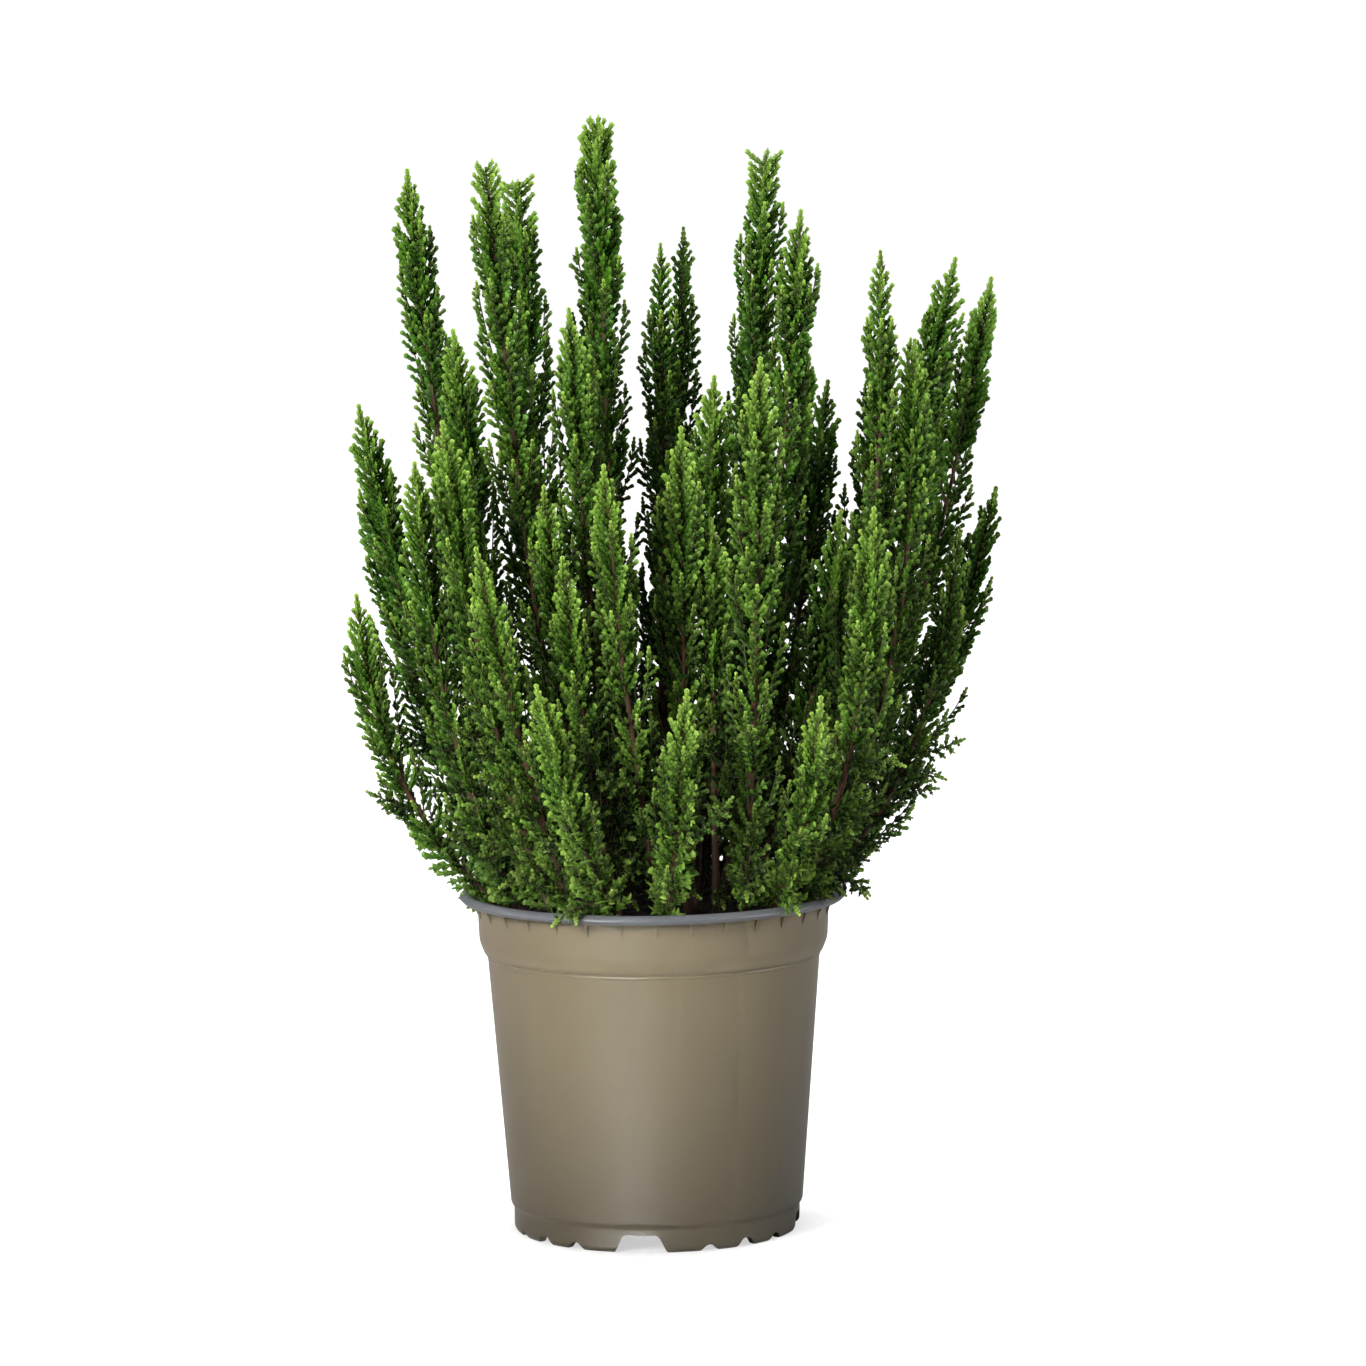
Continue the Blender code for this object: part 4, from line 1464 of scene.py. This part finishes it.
def soil_finish(colors):
    """Moist peat: nearly black, with paler dry crumbs."""
    material, board, shader = new_finish("moist_soil", 0.92)
    where = board.position()
    lumps = board.noise(where, 240.0, 6.0)
    specks = board.out("ShaderNodeTexVoronoi", None, {"Vector": where, "Scale": 420.0})
    dry = ((lumps - 0.55) * 3).held() * (1 - specks).held()
    tone = board.mix(dry, shaded(colors.soil), shaded(colors.crumb))
    board.fill(shader, {"Base Color": tone, "Normal": board.bump(0.8, 1.0 * MM, lumps)})
    return material


def rib_tree():
    """Copies of one rib round a circle, each turned outwards."""
    sockets = {"Count": "Int", "Radius": "Float", "Rib": "Object", "Plastic": "Material"}
    board, given = open_group("ribs_round_rim", sockets)
    circle = {"Vertices": given["Count"], "Radius": given["Radius"]}
    ring = board.out("GeometryNodeMeshCircle", None, circle)
    facing = board.turned_to((0.0, 0.0, 1.0), board.out("GeometryNodeInputPosition"))
    ribs = board.copies(ring, board.shape_of(given["Rib"]), facing)
    return board.done(board.painted(board.real(ribs), given["Plastic"]))


def crumb_tree():
    """Crumbs scattered over the soil's upper face, each turned and sized at random."""
    numbers = dict.fromkeys(("Density", "Smallest", "Largest"), "Float")
    parts = {"Seed": "Int", "Crumbs": "Collection", "Soil": "Material"}
    board, given = open_group("soil_crumbs", {**numbers, **parts})
    ground, seed = given["Geometry"], given["Seed"]
    scattered = board.out(
        "GeometryNodeDistributePointsOnFaces",
        {"distribute_method": "RANDOM"},
        {"Mesh": ground, "Density": given["Density"], "Seed": seed},
    )
    turns = {"Min": (0.0, 0.0, 0.0), "Max": (math.tau,) * 3, "Seed": seed + 1}
    turn = board.out("FunctionNodeRandomValue", {"data_type": "FLOAT_VECTOR"}, turns)
    size = given["Smallest"] + (given["Largest"] - given["Smallest"]) * board.chance(0.0, 1.0, seed + 2) ** 3
    turned_by = board.out("FunctionNodeEulerToRotation", None, {0: turn})
    sizes = {"Pick Instance": True, "Scale": size}
    crumbs = board.copies(scattered, board.choices(given["Crumbs"]), turned_by, sizes)
    return board.done(board.painted(board.join(ground, board.real(crumbs)), given["Soil"]))


def make_crumbs():
    """Four rough lumps of about twenty faces, the last of them a short fibre."""
    collection = bpy.data.collections.new("crumbs")
    for number in range(CRUMB_KINDS):
        draw, is_fibre = random.Random(CRUMB_SHAPE_SEED + number), number == CRUMB_KINDS - 1
        stretch = FIBRE if is_fibre else (draw.uniform(*CRUMB_LONGER), 1.0, CRUMB_FLAT)

        def roughen(shape, draw=draw, stretch=stretch):
            bmesh.ops.create_icosphere(shape, subdivisions=1, radius=0.5)
            for vertex in shape.verts:
                vertex.co *= draw.uniform(*CRUMB_ROUGH)
                vertex.co = [part * by for part, by in zip(vertex.co, stretch)]

        crumb = plain_object(f"crumb_{number}", [], [], collection=collection)
        reshape(crumb.data, roughen)
    return collection


def soil_outline():
    floor = FLOOR_UNDER_Z + WALL + SOIL_GAP
    edge_r = inner_wall_r(SOIL_EDGE_Z) - SOIL_GAP
    outline = [
        (0, floor),
        (inner_wall_r(floor) - SOIL_GAP, floor),
        (inner_wall_r(BODY_TOP_Z) - SOIL_GAP, BODY_TOP_Z),
        (inner_wall_r(COLLAR_Z) - SOIL_GAP, COLLAR_Z),
        (edge_r, soil_height(edge_r)),
    ]
    for ring in range(1, SOIL_RINGS):
        radius = edge_r * (1 - ring / SOIL_RINGS)
        outline.append((radius, soil_height(radius)))
    outline.append((0, soil_height(0)))
    return outline, edge_r


class HEATHER_OT_pot(bpy.types.Operator):
    """Make the nursery pot, with its grey rim, lobed foot and the small ribs under the rim"""

    bl_idname = "heather.pot"
    bl_label = "Pot"

    def execute(self, context):
        colors = context.scene.heather_pot
        pot = turned("pot_shell", pot_outline(), POT_SIDES)
        cut_away(pot, foot_notches() + drain_holes())
        plastic = plastic_finish("taupe_plastic", colors.plastic, WALL_SCUFF)
        paint(pot.data, plastic, plastic_finish("grey_rim_plastic", colors.rim, RIM_SCUFF))
        for face in pot.data.polygons:
            centre = face.center
            outside = math.hypot(centre.x, centre.y) > COLLAR_TOP_R + GREY_OUT
            face.material_index = 1 if outside and centre.z > RIM_LOW + GREY_UP else 0
        smooth(pot.data, POT_SHARP)
        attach(pot, BODY)
        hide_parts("pot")

        def at(y):
            return lambda corner: Vector((corner[0], y, corner[1]))

        rib = prism("rib", GUSSET, at(-GUSSET_HALF), at(GUSSET_HALF))
        rib.data.transform(Matrix.Translation((0, 0, RIM_LOW)))
        ribs = plain_object("rim_ribs", [(0, 0, 0)], [])
        values = {"Count": GUSSETS, "Radius": COLLAR_TOP_R - GUSSET_SUNK, "Rib": rib, "Plastic": plastic}
        run_group(ribs, rib_tree(), values)
        bpy.data.objects.remove(rib, do_unlink=True)
        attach(ribs, BODY)
        return {"FINISHED"}


class HEATHER_OT_soil(bpy.types.Operator):
    """Make the mound of moist soil, with crumbs over its surface"""

    bl_idname = "heather.soil"
    bl_label = "Soil"

    def execute(self, context):
        colors = context.scene.heather_pot
        outline, edge_r = soil_outline()
        soil = turned("soil_surface", outline, SOIL_SIDES)
        for vertex in soil.data.vertices:
            radius = math.hypot(vertex.co.x, vertex.co.y)
            if vertex.co.z > SOIL_EDGE_Z - MM and radius < edge_r - MM:
                rough = noise.fractal(vertex.co * LUMP_SCALE, LUMP_ROUGHNESS, LUMP_FINER, LUMP_OCTAVES)
                vertex.co.z += min(max(rough * LUMP_HEIGHT, -LUMP_HEIGHT), LUMP_HEIGHT) * MM
        crumbs, material = make_crumbs(), soil_finish(colors)
        top = plain_object("soil_top", [], [])

        def keep_top(shape):
            sides = [face for face in shape.faces if face.normal.z < UPPER_FACE]
            bmesh.ops.delete(shape, geom=sides, context="FACES")

        reshape(soil.data, keep_top, top.data)
        values = {
            "Density": colors.crumbs * SQUARE_CM_IN_SQUARE_M,
            "Smallest": CRUMB_SIZES[0],
            "Largest": CRUMB_SIZES[1],
            "Seed": CRUMB_SEED,
            "Crumbs": crumbs,
            "Soil": material,
        }
        run_group(top, crumb_tree(), values)
        before = len(soil.data.polygons)
        doubled = sum(face.normal.z >= UPPER_FACE for face in soil.data.polygons)

        def add_crumbs(shape):
            shape.from_mesh(top.data)
            shape.faces.ensure_lookup_table()
            bmesh.ops.delete(shape, geom=shape.faces[before : before + doubled], context="FACES")

        reshape(soil.data, add_crumbs)
        paint(soil.data, material)
        for face in soil.data.polygons:
            face.material_index = 0
        smooth(soil.data, SOIL_SHARP)
        bpy.data.objects.remove(top, do_unlink=True)
        clear(crumbs)
        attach(soil, BODY)
        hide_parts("soil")
        return {"FINISHED"}


class HEATHER_OT_foliage(bpy.types.Operator):
    """Grow the leafy stems, with their side shoots, twigs and leaves"""

    bl_idname = "heather.foliage"
    bl_label = "Foliage"

    def execute(self, context):
        sizes = context.scene.heather_foliage
        values = {label: getattr(sizes, label.lower().replace(" ", "_")) for label in (*LEAFY_SIZES, "Seed")}
        collection, leader = make_twigs()
        finishes = {"Leaf": leaf_finish(sizes), "Bark": bark_finish(sizes)}
        bush = grow_bush(leafy_tree(), {**values, "Twigs": collection, "Bead": leader, **finishes})
        tree = picked_tree()
        for piece, name in enumerate(CLUMPS):
            make_clump(name, piece, bush, tree)
        whole = bush.data
        bpy.data.objects.remove(bush, do_unlink=True)
        bpy.data.meshes.remove(whole)
        bpy.data.objects.remove(leader, do_unlink=True)
        clear(collection)
        return {"FINISHED"}


# The camera stands where the photograph was taken from
CAMERA_PLACE = (12.6 * MM, -2487.3 * MM, 491.4 * MM)
CAMERA_DOWN = math.radians(6.41)
CAMERA_ROLL = -0.0125
SENSOR_WIDTH = 36
CLIP_END = 100
FLOOR_SIDE = 60.0
FLOOR_GREY = (0.3, 0.3, 0.3, 1)
WHITE = (1, 1, 1, 1)
# The floor's own glow, painted dimmer at the pot's foot as a contact shadow and brighter further out, where
# it hides cast shadows: at the foot, near it and far away, and how far out each is reached
PAINTED_SHADOW_GLOW, NEAR_GLOW = 0.55, 0.96
GLOW_FOOT_R, GLOW_NEAR_R, GLOW_FAR_R = 0.054, 0.12, 1.5
# How bright the camera sees what lies behind
BACKDROP = 1.05
# The lights: name, whose power, size, place in the camera's own axes, what each looks at, and spread.
# A grid keeps the low light on the pot and off the leaves.
MIDDLE = (0, 0, 0.22)
OPEN = math.pi
LIGHTS = (
    ("key_light", "key", 0.95, (-1.35, -1.8, 1.15), MIDDLE, OPEN),
    ("low_light", "low", 0.3, (-0.8, -2.2, 0.2), (0, 0, -0.03), math.radians(10)),
    ("back_left_light", "back", 1.0, (-1.35, 1.3, 1.9), MIDDLE, OPEN),
    ("back_right_light", "back", 1.0, (1.35, 1.3, 1.9), MIDDLE, OPEN),
    ("top_light", "top", 1.6, (0.2, 0.3, 2.4), MIDDLE, OPEN),
    ("fill_light", "fill", 1.2, (2.2, -0.35, 0.9), MIDDLE, OPEN),
)


def soft_light(name, power, size, place, target, spread):
    light = bpy.data.lights.new(name, "AREA")
    light.shape = "DISK"
    light.spread = spread
    light.energy = power
    light.size = size
    lamp = new_object(name, light)
    lamp.location = Vector(turn_plant(np.array(place)))
    lamp.rotation_euler = (Vector(target) - lamp.location).to_track_quat("-Z", "Y").to_euler()


def place_camera(scene, lens):
    data = bpy.data.cameras.new("camera")
    data.lens = lens
    data.sensor_width = SENSOR_WIDTH
    data.clip_end = CLIP_END
    camera = new_object("camera", data)
    camera.location = Vector(turn_plant(np.array(CAMERA_PLACE)))
    camera.rotation_euler = (
        Matrix.Rotation(PLANT_TURN, 3, "Z")
        @ Matrix.Rotation(math.pi / 2 - CAMERA_DOWN, 3, "X")
        @ Matrix.Rotation(CAMERA_ROLL, 3, "Z")
    ).to_euler()
    scene.camera = camera


def floor_finish(glow):
    """A pale floor that shines by itself only for the camera, dimmer round the pot's foot as a painted
    contact shadow.
    """
    material, board, shader = new_finish("pale_floor", 0.9)
    away = board.vector("LENGTH", board.position(), key="Value")
    near = ((away - GLOW_FOOT_R) / (GLOW_NEAR_R - GLOW_FOOT_R)).held() ** 0.6
    far = ((away - GLOW_NEAR_R) / (GLOW_FAR_R - GLOW_NEAR_R)).held()
    # Painted shadow: a dimmer glow near the foot, and painted light further out over the cast shadows
    glow_with_painted_shadow = board.mix(near, shaded([glow] * 3, PAINTED_SHADOW_GLOW), shaded([glow] * 3, NEAR_GLOW))
    glow_with_painted_shadow = board.mix(far, glow_with_painted_shadow, WHITE)
    plain = {"Base Color": FLOOR_GREY, "Specular IOR Level": 0.0, "Emission Strength": 1.0}
    board.fill(shader, {**plain, "Emission Color": glow_with_painted_shadow})
    dim = board.out("ShaderNodeBsdfDiffuse", None, {"Color": FLOOR_GREY})
    seen = board.out("ShaderNodeLightPath", key="Is Camera Ray")
    both = board.out("ShaderNodeMixShader", None, {0: seen, 1: dim, 2: board.value(shader)})
    board.fill(material.node_tree.nodes["Material Output"], {"Surface": both})
    return material


class HEATHER_OT_studio(bpy.types.Operator):
    """Set up the pale floor, the soft lights and the camera"""

    bl_idname = "heather.studio"
    bl_label = "Studio"

    def execute(self, context):
        scene, studio = context.scene, context.scene.heather_studio
        place_camera(scene, studio.lens)
        half = FLOOR_SIDE / 2
        corners = [(-half, -half, 0), (half, -half, 0), (half, half, 0), (-half, half, 0)]
        floor = plain_object("floor", corners, [(0, 1, 2, 3)])
        paint(floor.data, floor_finish(studio.glow))
        floor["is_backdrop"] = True
        for name, power, size, place, target, spread in LIGHTS:
            soft_light(name, getattr(studio, power), size, place, target, spread)

        world = bpy.data.worlds.new("studio")
        world.use_nodes = True
        scene.world = world
        board = Board(world.node_tree)
        seen = board.out("ShaderNodeLightPath", key="Is Camera Ray")
        strength = studio.room + seen * (BACKDROP - studio.room)
        board.fill(world.node_tree.nodes["Background"], {"Color": WHITE, "Strength": strength})
        scene.view_settings.view_transform = "Standard"
        return {"FINISHED"}


class HEATHER_PT_panel(bpy.types.Panel):
    """The heather's sizes, colours and steps"""

    bl_idname = "HEATHER_PT_panel"
    bl_label = "Potted heather"
    bl_space_type = "VIEW_3D"
    bl_region_type = "UI"
    bl_category = "Heather"

    def draw(self, context):
        layout = self.layout
        for group in (context.scene.heather_foliage, context.scene.heather_pot, context.scene.heather_studio):
            box = layout.box()
            for name in group.__annotations__:
                box.prop(group, name)
        for operator in OPERATORS:
            layout.operator(operator.bl_idname)


GROUPS = {"heather_foliage": HeatherFoliage, "heather_pot": HeatherPot, "heather_studio": HeatherStudio}
OPERATORS = (HEATHER_OT_pot, HEATHER_OT_soil, HEATHER_OT_foliage, HEATHER_OT_studio)


def register():
    for name, group in GROUPS.items():
        bpy.utils.register_class(group)
        setattr(bpy.types.Scene, name, bpy.props.PointerProperty(type=group))
    for operator in OPERATORS:
        bpy.utils.register_class(operator)
    bpy.utils.register_class(HEATHER_PT_panel)


def unregister():
    bpy.utils.unregister_class(HEATHER_PT_panel)
    for operator in reversed(OPERATORS):
        bpy.utils.unregister_class(operator)
    for name, group in reversed(GROUPS.items()):
        delattr(bpy.types.Scene, name)
        bpy.utils.unregister_class(group)


def main():
    register()
    bpy.ops.heather.studio()
    bpy.ops.heather.pot()
    bpy.ops.heather.soil()
    bpy.ops.heather.foliage()


if __name__ == "__main__":
    main()
